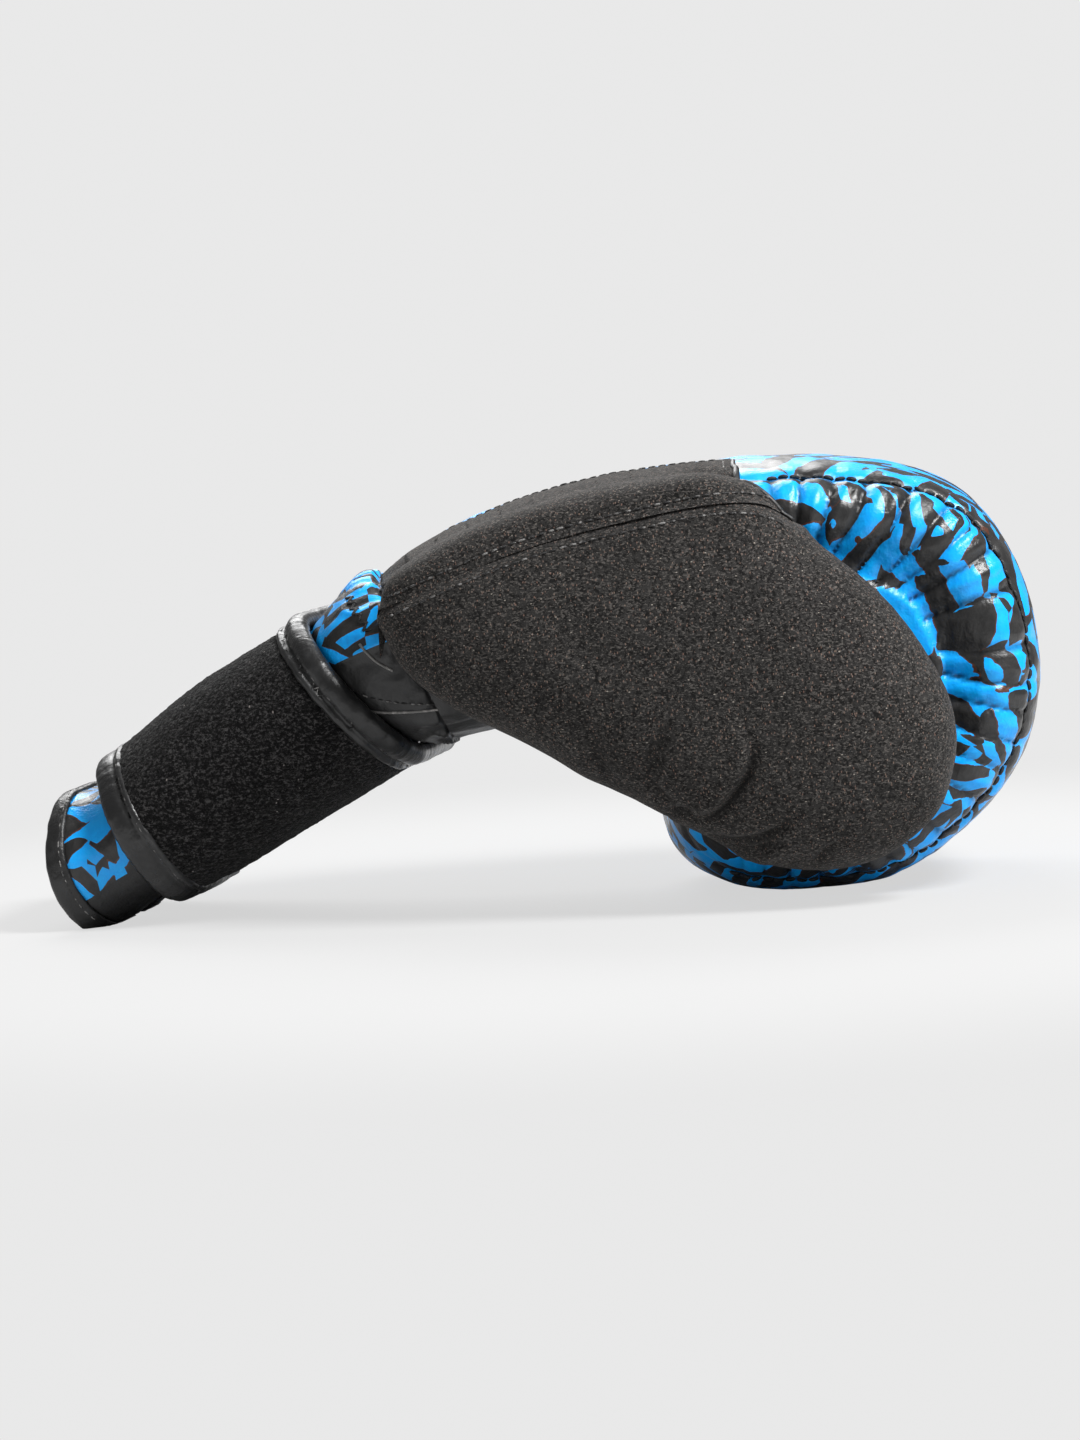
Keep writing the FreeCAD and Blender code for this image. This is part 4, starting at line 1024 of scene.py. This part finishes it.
saddle = saddle_patch()
finish_piece(saddle, SUEDE)
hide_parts("saddle_cover", "saddle_foam")
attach(saddle, "hand")
bend_at_thumb(thumb)
SUEDE_TREE = tree_of(thumb, saddle)


def seam_rows():
    """The rows of stitches along the thumb's seam and the saddle's edges, and the saddle's welt."""
    for label, rise in (("lower", -2.7 * MM), ("upper", 2.9 * MM)):
        row, ups = cast(SUEDE_TREE, at_side(SEAM_LINE[3:-4] + [0, rise], OUTSIDE_Y), (0, 1, 0), 0.12 * MM)
        sewn = stitches(f"thumb_seam_stitches_{label}", row, ups, 2.9 * MM, 2.2 * MM, 0.36 * MM)
        finish_piece(sewn, THREAD)
        if label == "lower":
            bend_at_thumb(sewn)
        else:
            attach(sewn, "hand")
    sheet = places(saddle).reshape(-1, SADDLE_ACROSS, 3)[HEM:-HEM]
    sheet_up = normals_of(saddle).reshape(-1, SADDLE_ACROSS, 3)[HEM:-HEM]
    edge, ups = sheet[-1], sheet_up[-3]
    way = edge - sheet[-4]
    way /= np.linalg.norm(way, axis=1)[:, None]
    path, ups = spline(edge - way * 2.6 * MM + ups * 0.1 * MM, 60), spline(ups, 60)
    sewn = stitches("saddle_edge_stitches", path, ups, 3.0 * MM, 2.3 * MM, 0.30 * MM)
    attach(finish_piece(sewn, THREAD), "hand")
    path = spline((edge + way * 0.4 * MM)[:-6], 90)
    welt = tube("saddle_welt", path, 1.1 * MM * np.sin(np.linspace(0.12, math.pi - 0.12, 90)) ** 0.3, 12)
    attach(finish_piece(welt, PLAIN), "hand")
    ups = (sheet_up * np.sign(sheet_up[:, :, 2:3] + 1e-9))[6:-4:4, -2]
    path, ups = spline(sheet[6:-4:4, -2] + ups * 0.1 * MM, 160), spline(ups, 160)
    sewn = stitches("saddle_back_stitches", path, ups, 3.0 * MM, 2.3 * MM, 0.28 * MM)
    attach(finish_piece(sewn, THREAD), "hand")


seam_rows()


def thumb_welt():
    """The leather welt sewn into the thumb's lower edge, behind the suede."""
    chosen = LEAF_LINE[np.argmin(np.linalg.norm(LEAF_LINE - side_spots([(0.42, 0.235)])[0], axis=1)):-4]
    into = LEAF_IN[-4 - len(chosen):-4]
    flat = chosen - into * 0.7 * MM
    path = at_side(flat, side_y(flat[:, 0], -MITT_HALF - 9 * MM))
    path = spline(dropped(LEAF_TREE, path, 0.2 * MM)[0][2:-2:3], 90)
    radius = 1.2 * MM * np.sin(np.linspace(0.08, math.pi - 0.08, len(path))) ** 0.3
    made = finish_piece(tube("thumb_welt", path, radius, 12), PLAIN)
    bend_at_thumb(made)


thumb_welt()

# ---------------------------------------------------------------- cuff frame
WRIST = np.array([(WRIST_TOP[0] + WRIST_PALM[0]) / 2, MIDDLE_Y, (WRIST_TOP[1] + WRIST_PALM[1]) / 2])
ALONG = np.array(JOINTS["strap_side_hinge"]["axis"])            # back along the cuff, to the hand
ASIDE = np.cross([0, 0, 1], ALONG)
ASIDE /= np.linalg.norm(ASIDE)
UP = np.cross(ALONG, ASIDE)
CORNER = CUFF_A - CUFF_B
SQUEEZE = 4.6 * MM                   # how far the drawn strap presses the cuff's back in, near its rear
RIM_OUT, RIM_LEAN = 2.5 * MM, 0.25   # the rim's plane leans: longer on the palm, shorter on the back
RIM_BOW = 4.5 * MM                   # and its narrow sides bow outwards


def cuff_spot(distance, aside, up):
    """A place by its distance from the wrist along the cuff, and its place across it."""
    squeeze = SQUEEZE * smooth(distance, 55 * MM, 95 * MM) * (1 - 0.5 * smooth(distance, 98 * MM, CUFF_END))
    bow = RIM_BOW * max(0.0, 1 - (up / CUFF_B) ** 2)
    slant = (RIM_OUT - RIM_LEAN * up + bow) * smooth(distance, 96 * MM, CUFF_END - 2 * MM)
    low = up - squeeze * smooth(up, -8 * MM, CUFF_B)
    return WRIST - ALONG * (distance + slant) + ASIDE * aside + UP * low


def slot_oval(share, radius):
    """A slot-shaped oval by its share of the way round, from the middle of the palm by the thumb's side."""
    straight, turn = 2 * CORNER, math.pi * radius
    run = (share % 1) * 2 * (straight + turn)
    if run < CORNER:
        return -run, -radius
    if run < CORNER + turn:
        a = (run - CORNER) / radius
        return -CORNER - radius * math.sin(a), -radius * math.cos(a)
    if run < CORNER + turn + straight:
        return -CORNER + run - CORNER - turn, radius
    if run < CORNER + 2 * turn + straight:
        a = (run - CORNER - turn - straight) / radius
        return CORNER + radius * math.sin(a), radius * math.cos(a)
    return CORNER - (run - CORNER - 2 * turn - straight), -radius


def slit_share(distance, radius):
    """Share of the oval taken on each side of the palm's middle by the slit."""
    half = 0.2 * MM + 4.8 * MM * float(smooth(distance, 55 * MM, 60 * MM))
    return half / (2 * (2 * CORNER + math.pi * radius))


def cuff_loop(distance, outer, inner, columns, inside):
    """One cross-section of the cuff's wall: round the outside from slit to slit, then back inside."""
    loop = []
    edge = slit_share(distance, outer)
    for k in range(columns):
        loop.append(slot_oval(edge + (1 - 2 * edge) * k / (columns - 1), outer))
    edge = slit_share(distance, inner)
    for k in range(inside):
        loop.append(slot_oval(1 - edge - (1 - 2 * edge) * k / (inside - 1), inner))
    return loop


# ---------------------------------------------------------------- cuff
def cuff_wall():
    """The padded wall of the cuff, then its printed back, black palm panel and lining as pieces."""
    rows, columns, inside = 76, 150, 60
    stops = np.linspace(CUFF_FROM + 1 * MM, CUFF_END - 2 * MM, rows)
    vertices = []
    for d in stops:
        loop = cuff_loop(d, CUFF_B - 0.6 * MM, CUFF_B - 5.6 * MM, columns, inside)
        vertices += [cuff_spot(d, *spot) for spot in loop]
    wide = columns + inside
    made = ringed("cuff_wall", vertices, rows, wide, flip=True)
    co, up = places(made), normals_of(made)
    distance = np.repeat(stops, wide)
    outer = (np.arange(len(co)) % wide) < columns
    puff = smooth(distance, CUFF_FROM, 24 * MM)
    puff *= 1 - smooth(distance, CUFF_END - 14 * MM, CUFF_END - 5 * MM)
    lift = np.where(outer, 0.9 * MM * puff, 0.4 * MM * puff)
    groove = 0.5 * MM * hump(distance, CUFF_END - 7.5 * MM, 1.6 * MM)
    lift += outer * (0.35 * MM * rough(co, 17 * MM, 31, 2) - groove)
    co = co + up * lift[:, None]
    co[:, 2] = np.maximum(co[:, 2], 0.3 * MM)
    set_places(made, co)
    keep_attribute(made, "rest", co)
    normals = normals_of(made)
    column = np.array([min(v % wide for v in p.vertices) for p in made.data.polygons])
    height = np.array([(co[list(p.vertices)].mean(0) - WRIST) @ UP for p in made.data.polygons])
    outside = column < columns - 1
    caps = np.array([len(p.vertices) > 4 for p in made.data.polygons])
    back = outside & (height > -11 * MM) & ~caps
    lining = ~outside & (column < wide - 1) & ~caps
    palm = ~back & ~lining & ~caps
    for name, chosen, material, slot, nodes in (
        ("cuff_back", back, PRINTED, "printed_leather", ("cuff_back_cover", "cuff_foam")),
        ("cuff_palm", palm, PLAIN, "black_leather", ("cuff_palm_cover",)),
        ("cuff_inside", lining, LINING, "lining_cloth", ("cuff_lining",)),
    ):
        piece = finish_piece(part_of(name, made, chosen, normals), material)
        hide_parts(*nodes)
        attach(piece, "cuff")
        name != "cuff_inside"
    bpy.data.objects.remove(made)


def cuff_rim():
    """The binding round the cuff's end, rolled over from the outside to the inside."""
    shape = [(-RIM_TAPE - 0.4 * MM, 0.1), (-RIM_TAPE * 0.9, 0.9), (-RIM_TAPE * 0.5, 1.25), (-1.6 * MM, 1.3),
             (-0.3 * MM, 0.7), (0.0, -0.6), (0.0, -2.6), (0.0, -4.4), (-0.4 * MM, -6.0), (-1.6 * MM, -6.9),
             (-RIM_TAPE * 0.6, -6.8), (-RIM_TAPE, -6.2), (-RIM_TAPE * 0.8, -5.0), (-RIM_TAPE * 0.8, -1.4)]
    shape = spline([(d, h * MM) for d, h in shape], 40, closed=True)
    rows, vertices = 260, []
    for k in range(rows):
        for d, h in shape:
            radius = CUFF_B + h
            edge = slit_share(CUFF_END, radius)
            spot = slot_oval(edge + (1 - 2 * edge) * k / (rows - 1), radius)
            vertices.append(cuff_spot(CUFF_END + d, *spot))
    made = ringed("cuff_rim_binding", vertices, rows, len(shape))
    co, up = places(made), normals_of(made)
    lift = 0.28 * MM * rough(co, 5 * MM, 33, 2) + 0.25 * MM * rough(co, 18 * MM, 34)
    co = co + up * lift[:, None]
    co[:, 2] = np.maximum(co[:, 2], 0.0)
    set_places(made, co)
    finish_piece(made, TAPE)
    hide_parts("cuff_rim_tape")
    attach(made, "cuff")
    edge, path = slit_share(CUFF_END, CUFF_B), []
    for k in range(200):
        spot = slot_oval(edge + (1 - 2 * edge) * (k + 1) / 201, CUFF_B + 2 * MM)
        path.append(cuff_spot(CUFF_END - RIM_TAPE * 0.84, *spot))
    row, ups = dropped(tree_of(made), path, 0.05 * MM)
    sewn = stitches("cuff_rim_stitches", row, ups, 3.0 * MM, 2.1 * MM, 0.26 * MM)
    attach(finish_piece(sewn, THREAD), "cuff")


cuff_wall()
cuff_rim()

# ---------------------------------------------------------------- strap
UNDER_IN = CUFF_B + 0.3 * MM
TOP_IN = CUFF_B + 2.3 * MM
TURN = 0.5 * (UNDER_IN + TOP_IN)
TURN_UP = 0.5 * (TOP_IN - UNDER_IN)
PALM_RUN, TURN_RUN = STRAP_ROOT + CORNER, math.pi * TURN
STRAP_RUN = PALM_RUN + TURN_RUN + CORNER + STRAP_TIP


def strap_line(run):
    """Place across the cuff and outward way of the strap's inner face, by the run from its sewn root."""
    if run < PALM_RUN:
        return (STRAP_ROOT - run, -UNDER_IN), (0, -1)
    if run < PALM_RUN + TURN_RUN:
        a = (run - PALM_RUN) / TURN
        return (-CORNER - TURN * math.sin(a), TURN_UP - TURN * math.cos(a)), (-math.sin(a), -math.cos(a))
    return (-CORNER + run - PALM_RUN - TURN_RUN, TOP_IN), (0, 1)


def strap_edge(edge, height):
    """Distance from the wrist of a slanted strap edge, at a height over the cuff's middle."""
    return edge[0] + (edge[1] - edge[0]) * (height + UNDER_IN) / (UNDER_IN + TOP_IN)


def strap_spot(run, front, rear_share, out):
    """A place on the strap, by its distance in from the front edge, or from the rear if rear_share is 1."""
    (aside, up), (way_a, way_u) = strap_line(run)
    edge = strap_edge(FRONT_EDGE, up) * (1 - rear_share) + strap_edge(REAR_EDGE, up) * rear_share
    return cuff_spot(edge + front, aside + way_a * out, up + way_u * out)


def split_strap(made, label, wide, material, nodes_palm, nodes_end):
    """Parts a length of strap at the middle of its turn, so that each half bends at one hinge."""
    normals = normals_of(made)
    run_row = np.array([min(p.vertices) // wide for p in made.data.polygons])
    middle = len(made.data.vertices) // wide // 2
    for name, chosen, nodes in ((label + "_palm_half", run_row < middle, nodes_palm),
                                (label + "_back_half", run_row >= middle, nodes_end)):
        piece = finish_piece(part_of(name, made, chosen, normals), material)
        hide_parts(*nodes)
        strap_bend(piece, "palm" in name)
    bpy.data.objects.remove(made)


def strap_bend(piece, palm):
    """Bends a piece of strap where it meets the turn round the thumb side."""
    near, far = cuff_spot(0, -CORNER + 5 * MM, 0), cuff_spot(0, -CORNER - 7 * MM, 0)
    if palm:
        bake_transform(piece, "strap_palm", "strap_side", start=tuple(near), end=tuple(far))
    else:
        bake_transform(piece, "strap_side", "strap_end", start=tuple(far), end=tuple(near))


def strap_body():
    """The strap's wide middle: fuzzy pile outside, plain web inside."""
    rows, columns, under = 250, 108, 8
    vertices = []
    for run in np.linspace(0, STRAP_RUN, rows):
        for k in range(columns):
            share = k / (columns - 1)
            edge_in = 5.6 * MM * (1 - 2 * share)
            side = min(share, 1 - share)
            puff = 0.5 * MM * float(smooth(side, 0, 0.08))
            vertices.append(strap_spot(run, edge_in, share, STRAP_WALL + puff))
        for k in range(under):
            share = 1 - k / (under - 1)
            vertices.append(strap_spot(run, 5.6 * MM * (1 - 2 * share), share, 0.5 * MM))
    wide = columns + under
    made = ringed("strap_body", vertices, rows, wide)
    co, up = places(made), normals_of(made)
    outer = (np.arange(len(co)) % wide) < columns
    fuzz = 0.26 * MM * rough(co, 1.5 * MM, 41, 2) + 0.12 * MM * rough(co, 5 * MM, 42)
    sag = 0.5 * MM * rough(co, 30 * MM, 43)
    co = co + up * (outer * (fuzz + sag))[:, None]
    set_places(made, co)
    keep_attribute(made, "rest", co)
    split_strap(made, "strap", wide, PILE,
                ("strap_palm_web", "strap_palm_pile", "strap_side_pile"),
                ("strap_end_web", "strap_end_pile", "strap_side_web"))


# the bindings' cross-sections in millimetres: in from the strap's edge, and out from its inner face
FRONT_ROLL = [(9.9, 0.4), (5.0, 0.3), (1.2, 0.2), (-0.4, 1.2), (-0.7, 2.8), (0.1, 4.5), (1.8, 5.6), (3.6, 5.8),
              (5.2, 5.2), (6.3, 4.2), (6.9, 3.8), (7.4, 4.1), (8.1, 4.7), (8.9, 4.6), (9.6, 3.9), (10.0, 2.6)]
REAR_ROLL = [(10.0, 0.4), (5.0, 0.3), (1.2, 0.2), (-0.2, 1.0), (-0.4, 2.2), (0.1, 3.4), (1.5, 4.2), (3.4, 4.4),
             (5.2, 4.3), (6.4, 3.9), (7.0, 3.7), (7.6, 4.1), (8.4, 4.5), (9.2, 4.2), (9.9, 3.4), (10.2, 2.4)]
END_ROLL = [(-7.5, 3.6), (-6.5, 4.3), (-4, 4.6), (-1.2, 4.5), (0.2, 3.6), (0.6, 2.2), (0.2, 0.9), (-1.0, 0.4),
            (-4, 0.6), (-7, 1.5)]


def strap_binding(label, roll, rear, seed, sew_at):
    """The rolled binding along one edge of the strap, with its narrow inner ridge and a row of stitches."""
    rows, columns = 330, 46
    shape = spline([(a * MM, b * MM) for a, b in roll], columns, closed=True)
    sign = -1 if rear else 1
    vertices = []
    for run in np.linspace(0, STRAP_RUN, rows):
        for inset, out in shape:
            vertices.append(strap_spot(run, sign * inset, 1 if rear else 0, out))
    made = ringed("strap_binding", vertices, rows, columns, flip=rear)
    co, up = places(made), normals_of(made)
    run = np.repeat(np.linspace(0, STRAP_RUN, rows), columns)
    around = np.tile(np.arange(columns) / columns, rows)
    cross = np.column_stack([run, around * 3 * MM, run * 0])
    lift = 0.30 * MM * rough(cross, 4.0 * MM, seed, 2) + 0.3 * MM * rough(co, 22 * MM, seed + 1)
    co = co + up * lift[:, None]
    set_places(made, co)
    keep_attribute(made, "rest", co)
    stops = np.linspace(1.5 * MM, STRAP_RUN - 1.5 * MM, 320)
    path = [strap_spot(r, sign * sew_at * MM, 1 if rear else 0, 6 * MM) for r in stops]
    row, ups = dropped(tree_of(made), path, 0.04 * MM)
    middle = 160
    for half, part in (("palm", slice(0, middle)), ("back", slice(middle - 1, None))):
        sewn = stitches(f"{label}_stitches_{half}_half", row[part], ups[part], 2.7 * MM, 2.0 * MM, 0.24 * MM)
        strap_bend(finish_piece(sewn, THREAD), half == "palm")
    where = "rear" if rear else "front"
    split_strap(made, label, columns, TAPE,
                (f"strap_palm_{where}_tape", f"strap_side_{where}_tape"), (f"strap_end_{where}_tape",))


def strap_end_binding():
    """The binding across the strap's free end."""
    shape = spline([(a * MM, b * MM) for a, b in END_ROLL], 30, closed=True)
    rows, vertices = 90, []
    for share in np.linspace(0.015, 0.985, rows):
        for along, out in shape:
            vertices.append(strap_spot(STRAP_RUN + along, 0, share, out))
    made = ringed("strap_end_binding", vertices, rows, len(shape))
    face_out(made)
    co, up = places(made), normals_of(made)
    set_places(made, co + up * (0.25 * MM * rough(co, 5 * MM, 57, 2))[:, None])
    finish_piece(made, TAPE)
    path = [strap_spot(STRAP_RUN - 5.4 * MM, 0, s, 7 * MM) for s in np.linspace(0.1, 0.9, 90)]
    row, ups = dropped(tree_of(made), path, 0.04 * MM)
    sewn = stitches("strap_end_stitches", row, ups, 2.7 * MM, 2.0 * MM, 0.24 * MM)
    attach(made, "strap_end")
    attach(finish_piece(sewn, THREAD), "strap_end")


def strap_plate(name, runs, margins, low, high, material, body, fuzz):
    """A thin patch of tape under the strap's free end, between the strap's two edges."""
    rows, columns = 60, 90
    vertices = []
    for run in np.linspace(*runs, rows):
        for level in (high, low):
            for k in range(columns):
                share = k / (columns - 1) if level == high else 1 - k / (columns - 1)
                vertices.append(strap_spot(run, margins[0] + (margins[1] - margins[0]) * share, share, level))
    made = ringed(name, vertices, rows, 2 * columns)
    co, up = places(made), normals_of(made)
    set_places(made, co + up * (fuzz * rough(co, 1.6 * MM, 71, 2))[:, None])
    finish_piece(made, material)
    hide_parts(name.replace("_face", ""))
    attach(made, body)


strap_plate("loop_panel_face", (PALM_RUN + TURN_RUN + 1 * MM, PALM_RUN + TURN_RUN + 2 * CORNER - 1 * MM),
            (9 * MM, -9 * MM), -2.1 * MM, -1.0 * MM, PILE, "cuff", 0.12 * MM)
strap_plate("hook_pad_face", (STRAP_RUN - 26 * MM, STRAP_RUN - 1 * MM),
            (7 * MM, -7 * MM), -0.7 * MM, 0.3 * MM, HOOKS, "strap_end", 0.05 * MM)
strap_body()
strap_binding("strap_front_binding", FRONT_ROLL, False, 51, 6.9)
strap_binding("strap_rear_binding", REAR_ROLL, True, 54, 6.8)
strap_end_binding()

# ---------------------------------------------------------------- neck
WRIST_UP = np.array([WRIST_TOP[0] - WRIST_PALM[0], 0, WRIST_TOP[1] - WRIST_PALM[1]])
WRIST_HIGH = 0.5 * np.linalg.norm(WRIST_UP)
WRIST_UP /= 2 * WRIST_HIGH
TO_CUFF = np.array([-WRIST_UP[2], 0, WRIST_UP[0]])


def oval_reach(angle, radius):
    """How far the cuff's slot-shaped oval lies from its middle, at an angle."""
    c, s = abs(math.cos(angle)), abs(math.sin(angle))
    if s * CORNER > c * radius:
        return radius / s
    return CORNER * c + math.sqrt(max(0.0, radius ** 2 - (CORNER * s) ** 2))


def opening_spot(angle, back, wall):
    """A place under the mitt's skin, set back from its opening at the wrist."""
    way = Vector((0, math.cos(angle), 0)) + Vector(WRIST_UP) * math.sin(angle)
    spot = MITT_TREE.ray_cast(Vector(WRIST - TO_CUFF * back), way)[0]
    return np.array(spot - way * wall)


def strap_mouth(angle, past, wall):
    """A place under the strap's front edge, or past it along the cuff."""
    radius = CUFF_B - wall + 1.7 * MM * float(smooth(math.sin(angle), 0.1, 0.7))
    reach = oval_reach(angle, radius)
    aside, up = reach * math.cos(angle), reach * math.sin(angle)
    return cuff_spot(float(strap_edge(FRONT_EDGE, up)) + past, aside, up)


NECK_ROWS, NECK_COLUMNS = 70, 240


def neck_wall(wall, bulge):
    """The neck's sleeve as a grid of rings, from inside the mitt's opening to under the strap."""
    vertices = []
    for k in range(NECK_COLUMNS):
        angle = 2 * math.pi * k / NECK_COLUMNS
        away = np.array([0, math.cos(angle), 0]) + WRIST_UP * math.sin(angle)
        first, last = opening_spot(angle, -0.4 * MM, wall + 0.5 * MM), strap_mouth(angle, 0, wall + 0.2 * MM)
        swell = (1.7 * MM + 3.1 * MM * float(smooth(math.sin(angle), -0.1, 0.7))) * bulge
        column = [opening_spot(angle, 5 * MM, wall + 1.8 * MM),
                  opening_spot(angle, 1.5 * MM, wall + 1.1 * MM)]
        for share in np.linspace(0, 1, NECK_ROWS - 4):
            out = swell * math.sin(math.pi * share ** 0.78) ** 0.6
            column.append(first + (last - first) * share + away * out)
        column += [strap_mouth(angle, 3 * MM, wall + 0.4 * MM), strap_mouth(angle, 6 * MM, wall + 0.4 * MM)]
        vertices.append(column)
    vertices = np.array(vertices).transpose(1, 0, 2).reshape(-1, 3)
    made = new_object("neck_sleeve", vertices, grid_faces(NECK_ROWS, NECK_COLUMNS, wrap=True))
    co, up = places(made), normals_of(made)
    rows = np.clip((np.arange(NECK_ROWS) - 2) / (NECK_ROWS - 5), 0, 1)
    share = np.repeat(rows, NECK_COLUMNS)
    angle = np.tile(2 * math.pi * np.arange(NECK_COLUMNS) / NECK_COLUMNS, NECK_ROWS)
    gather = np.abs(np.sin(angle * 17 + 2 * rough(np.column_stack([angle, share, angle * 0]), 0.4, 61)))
    open_part = smooth(share, 0.0, 0.08) * (1 - smooth(share, 0.9, 1.0))
    lift = -1.5 * MM * (1 - gather) ** 1.4 * (1 - smooth(share, 0.15, 0.75)) * open_part
    past_seam = np.abs(np.sin(0.5 * (angle - math.pi))) * 2 - NECK_SEAM
    lift -= 1.1 * MM * hump(past_seam, 0, 0.035) * (np.sin(angle) > 0) * open_part
    lift += (0.6 * MM * rough(co, 13 * MM, 62, 2) + 0.15 * MM * rough(co, 4 * MM, 63)) * open_part
    co = co + up * (bulge * lift)[:, None]
    set_places(made, co)
    keep_attribute(made, "rest", co)
    return made, angle


NECK_SEAM = 0.24                     # angle from the neck's middle height to its side seams
PIPED = [(-0.029, 0.640), (-0.006, 0.600), (0.019, 0.576)]
PIPED_LOW = [(-0.060, 0.506), (-0.022, 0.485), (0.042, 0.479), (0.098, 0.480)]
SEWN_LOW = [(-0.062, 0.551), (-0.031, 0.524), (0.029, 0.500), (0.095, 0.491)]
GATHER_SEAM = [(-0.044, 0.745), (-0.034, 0.715), (-0.024, 0.690), (-0.014, 0.668)]


def bend_at_wrist(piece):
    """Bends a piece of the neck between the mitt and the cuff."""
    start = WRIST - TO_CUFF * 1 * MM
    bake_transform(piece, "hand", "cuff", start=tuple(start), end=tuple(cuff_spot(8 * MM, 0, 0)))


def on_neck(tree, points, count, lift):
    """Places on the thumb side of the neck, under a line in the side view."""
    return cast(tree, at_side(spline(side_spots(points), count), OUTSIDE_Y), (0, 1, 0), lift)


def neck():
    """Printed back and black heel of the neck, its lining, and the piped seams on the heel."""
    made, angle = neck_wall(0.0, 1.0)
    normals = normals_of(made)
    turn = angle[[p.vertices[0] for p in made.data.polygons]]
    back = (turn > NECK_SEAM) & (turn < math.pi - NECK_SEAM)
    for name, chosen, material, slot, node in (
        ("neck_back", back, PRINTED, "printed_leather", "neck_back_cover"),
        ("neck_heel", ~back, PLAIN, "black_leather", "neck_palm_cover"),
    ):
        piece = finish_piece(part_of(name, made, chosen, normals), material)
        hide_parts(node)
        bend_at_wrist(piece)
    tree = tree_of(made)
    bpy.data.objects.remove(made)
    for name, points in (("neck_piping_upper", PIPED), ("neck_piping_lower", PIPED_LOW)):
        row, ups = on_neck(tree, points, 60, 0.15 * MM)
        bend_at_wrist(finish_piece(tube(name, row, 0.42 * MM, 8), PIPING))
    for name, points, zigzag, sizes, material in (
        ("neck_heel_stitches", SEWN_LOW, 0.0, (2.4 * MM, 1.8 * MM, 0.26 * MM), THREAD),
        ("neck_gather_stitches", GATHER_SEAM, 1.2, (1.5 * MM, 3.8 * MM, 0.48 * MM), ROPE),
    ):
        row, ups = on_neck(tree, points, 60, 0.1 * MM)
        bend_at_wrist(finish_piece(stitches(name, row, ups, *sizes, zigzag), material))
    inner, angle = neck_wall(5.8 * MM, 0.0)
    inner.name = "neck_inside"
    finish_piece(inner, LINING)
    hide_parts("neck_lining")
    bend_at_wrist(inner)


neck()

# ---------------------------------------------------------------- stage, light and camera
floor = new_object("floor", [(-4, -4, 0), (4, -4, 0), (4, 4, 0), (-4, 4, 0)], [(0, 1, 2, 3)], soft=False)


PALE = (0.813, 0.813, 0.813, 1)


def pale_floor():
    """A pale matt floor: plain colour far off, and a share of the shadows close to the glove."""
    finish = Finish("pale_floor")
    finish.surface(Base_Color=(0.62, 0.62, 0.62, 1), Roughness=1.0, Specular_IOR_Level=0.0)
    glow = finish.nodes.new("ShaderNodeEmission")
    finish.feed(glow, {"Color": PALE, "Strength": 1.0})
    spot = finish.add("ShaderNodeNewGeometry").out("Position")
    far = finish.add("ShaderNodeVectorMath", {"operation": "LENGTH"}, {0: spot}).out("Value")
    seen = finish.add("ShaderNodeLightPath").out("Is Camera Ray")
    mix = finish.nodes.new("ShaderNodeMixShader")
    output = [node for node in finish.nodes if node.type == "OUTPUT_MATERIAL"][0]
    finish.feed(mix, {"Fac": seen * finish.ease(far, 0.20, 0.42, 0.78, 1.0)})
    finish.links.new(finish.shader.outputs[0], mix.inputs[1])
    finish.links.new(glow.outputs[0], mix.inputs[2])
    finish.links.new(mix.outputs[0], output.inputs["Surface"])
    return finish.material


floor.data.materials.append(pale_floor())

world = bpy.data.worlds.new("studio")
bpy.context.scene.world = world
world.use_nodes = True
sky = Finish.__new__(Finish)
sky.nodes, sky.links = world.node_tree.nodes, world.node_tree.links
background = world.node_tree.nodes["Background"]
seen = sky.add("ShaderNodeLightPath").out("Is Camera Ray")
sky.feed(background, {"Color": PALE, "Strength": seen * 0.68 + 0.32})


def area_light(name, place, target, size, power):
    """A square soft light aimed at a place."""
    lamp = bpy.data.lights.new(name, "AREA")
    lamp.size, lamp.energy = size, power
    made = bpy.data.objects.new(name, lamp)
    made.location = place
    made.rotation_euler = (Vector(target) - Vector(place)).to_track_quat("-Z", "Y").to_euler()
    bpy.context.scene.collection.objects.link(made)


area_light("key_light", (0.75, -0.55, 1.15), (0.03, 0, 0.06), 0.45, 33)
area_light("back_light", (-0.2, 0.9, 0.9), (0, 0, 0.06), 0.8, 16)

camera = bpy.data.objects.new("camera", bpy.data.cameras.new("camera"))
bpy.context.scene.collection.objects.link(camera)
bpy.context.scene.camera = camera
bpy.context.scene.view_settings.view_transform = "Standard"
AIM = Vector((1.0, 0.0, 55.2)) * MM
AZIMUTH, ELEVATION, TILT, DISTANCE = 1.0, 4.5, -3.5, 1.5
turn, rise = math.radians(AZIMUTH), math.radians(ELEVATION)
away = Vector((math.sin(turn) * math.cos(rise), -math.cos(turn) * math.cos(rise), math.sin(rise)))
camera.location = AIM + away * DISTANCE
camera.rotation_mode = "QUATERNION"
level = (-away).to_track_quat("-Z", "Y")
camera.rotation_quaternion = level @ Matrix.Rotation(math.radians(TILT), 3, "Z").to_quaternion()
camera.data.sensor_fit = "VERTICAL"
camera.data.sensor_height = 36.0
camera.data.lens = 36.0 * DISTANCE / 0.437

# ---------------------------------------------------------------- the frame's own nodes that stay in view
KEPT = {"hand_lining": LINING, "finger_lining": LINING, "thumb_lining": LINING, "cuff_gusset": ELASTIC}
for node, material in KEPT.items():
    shown = frame["nodes"][node]
    shown.data.materials.clear()
    shown.data.materials.append(material)
bpy.data.objects.remove(mitt)
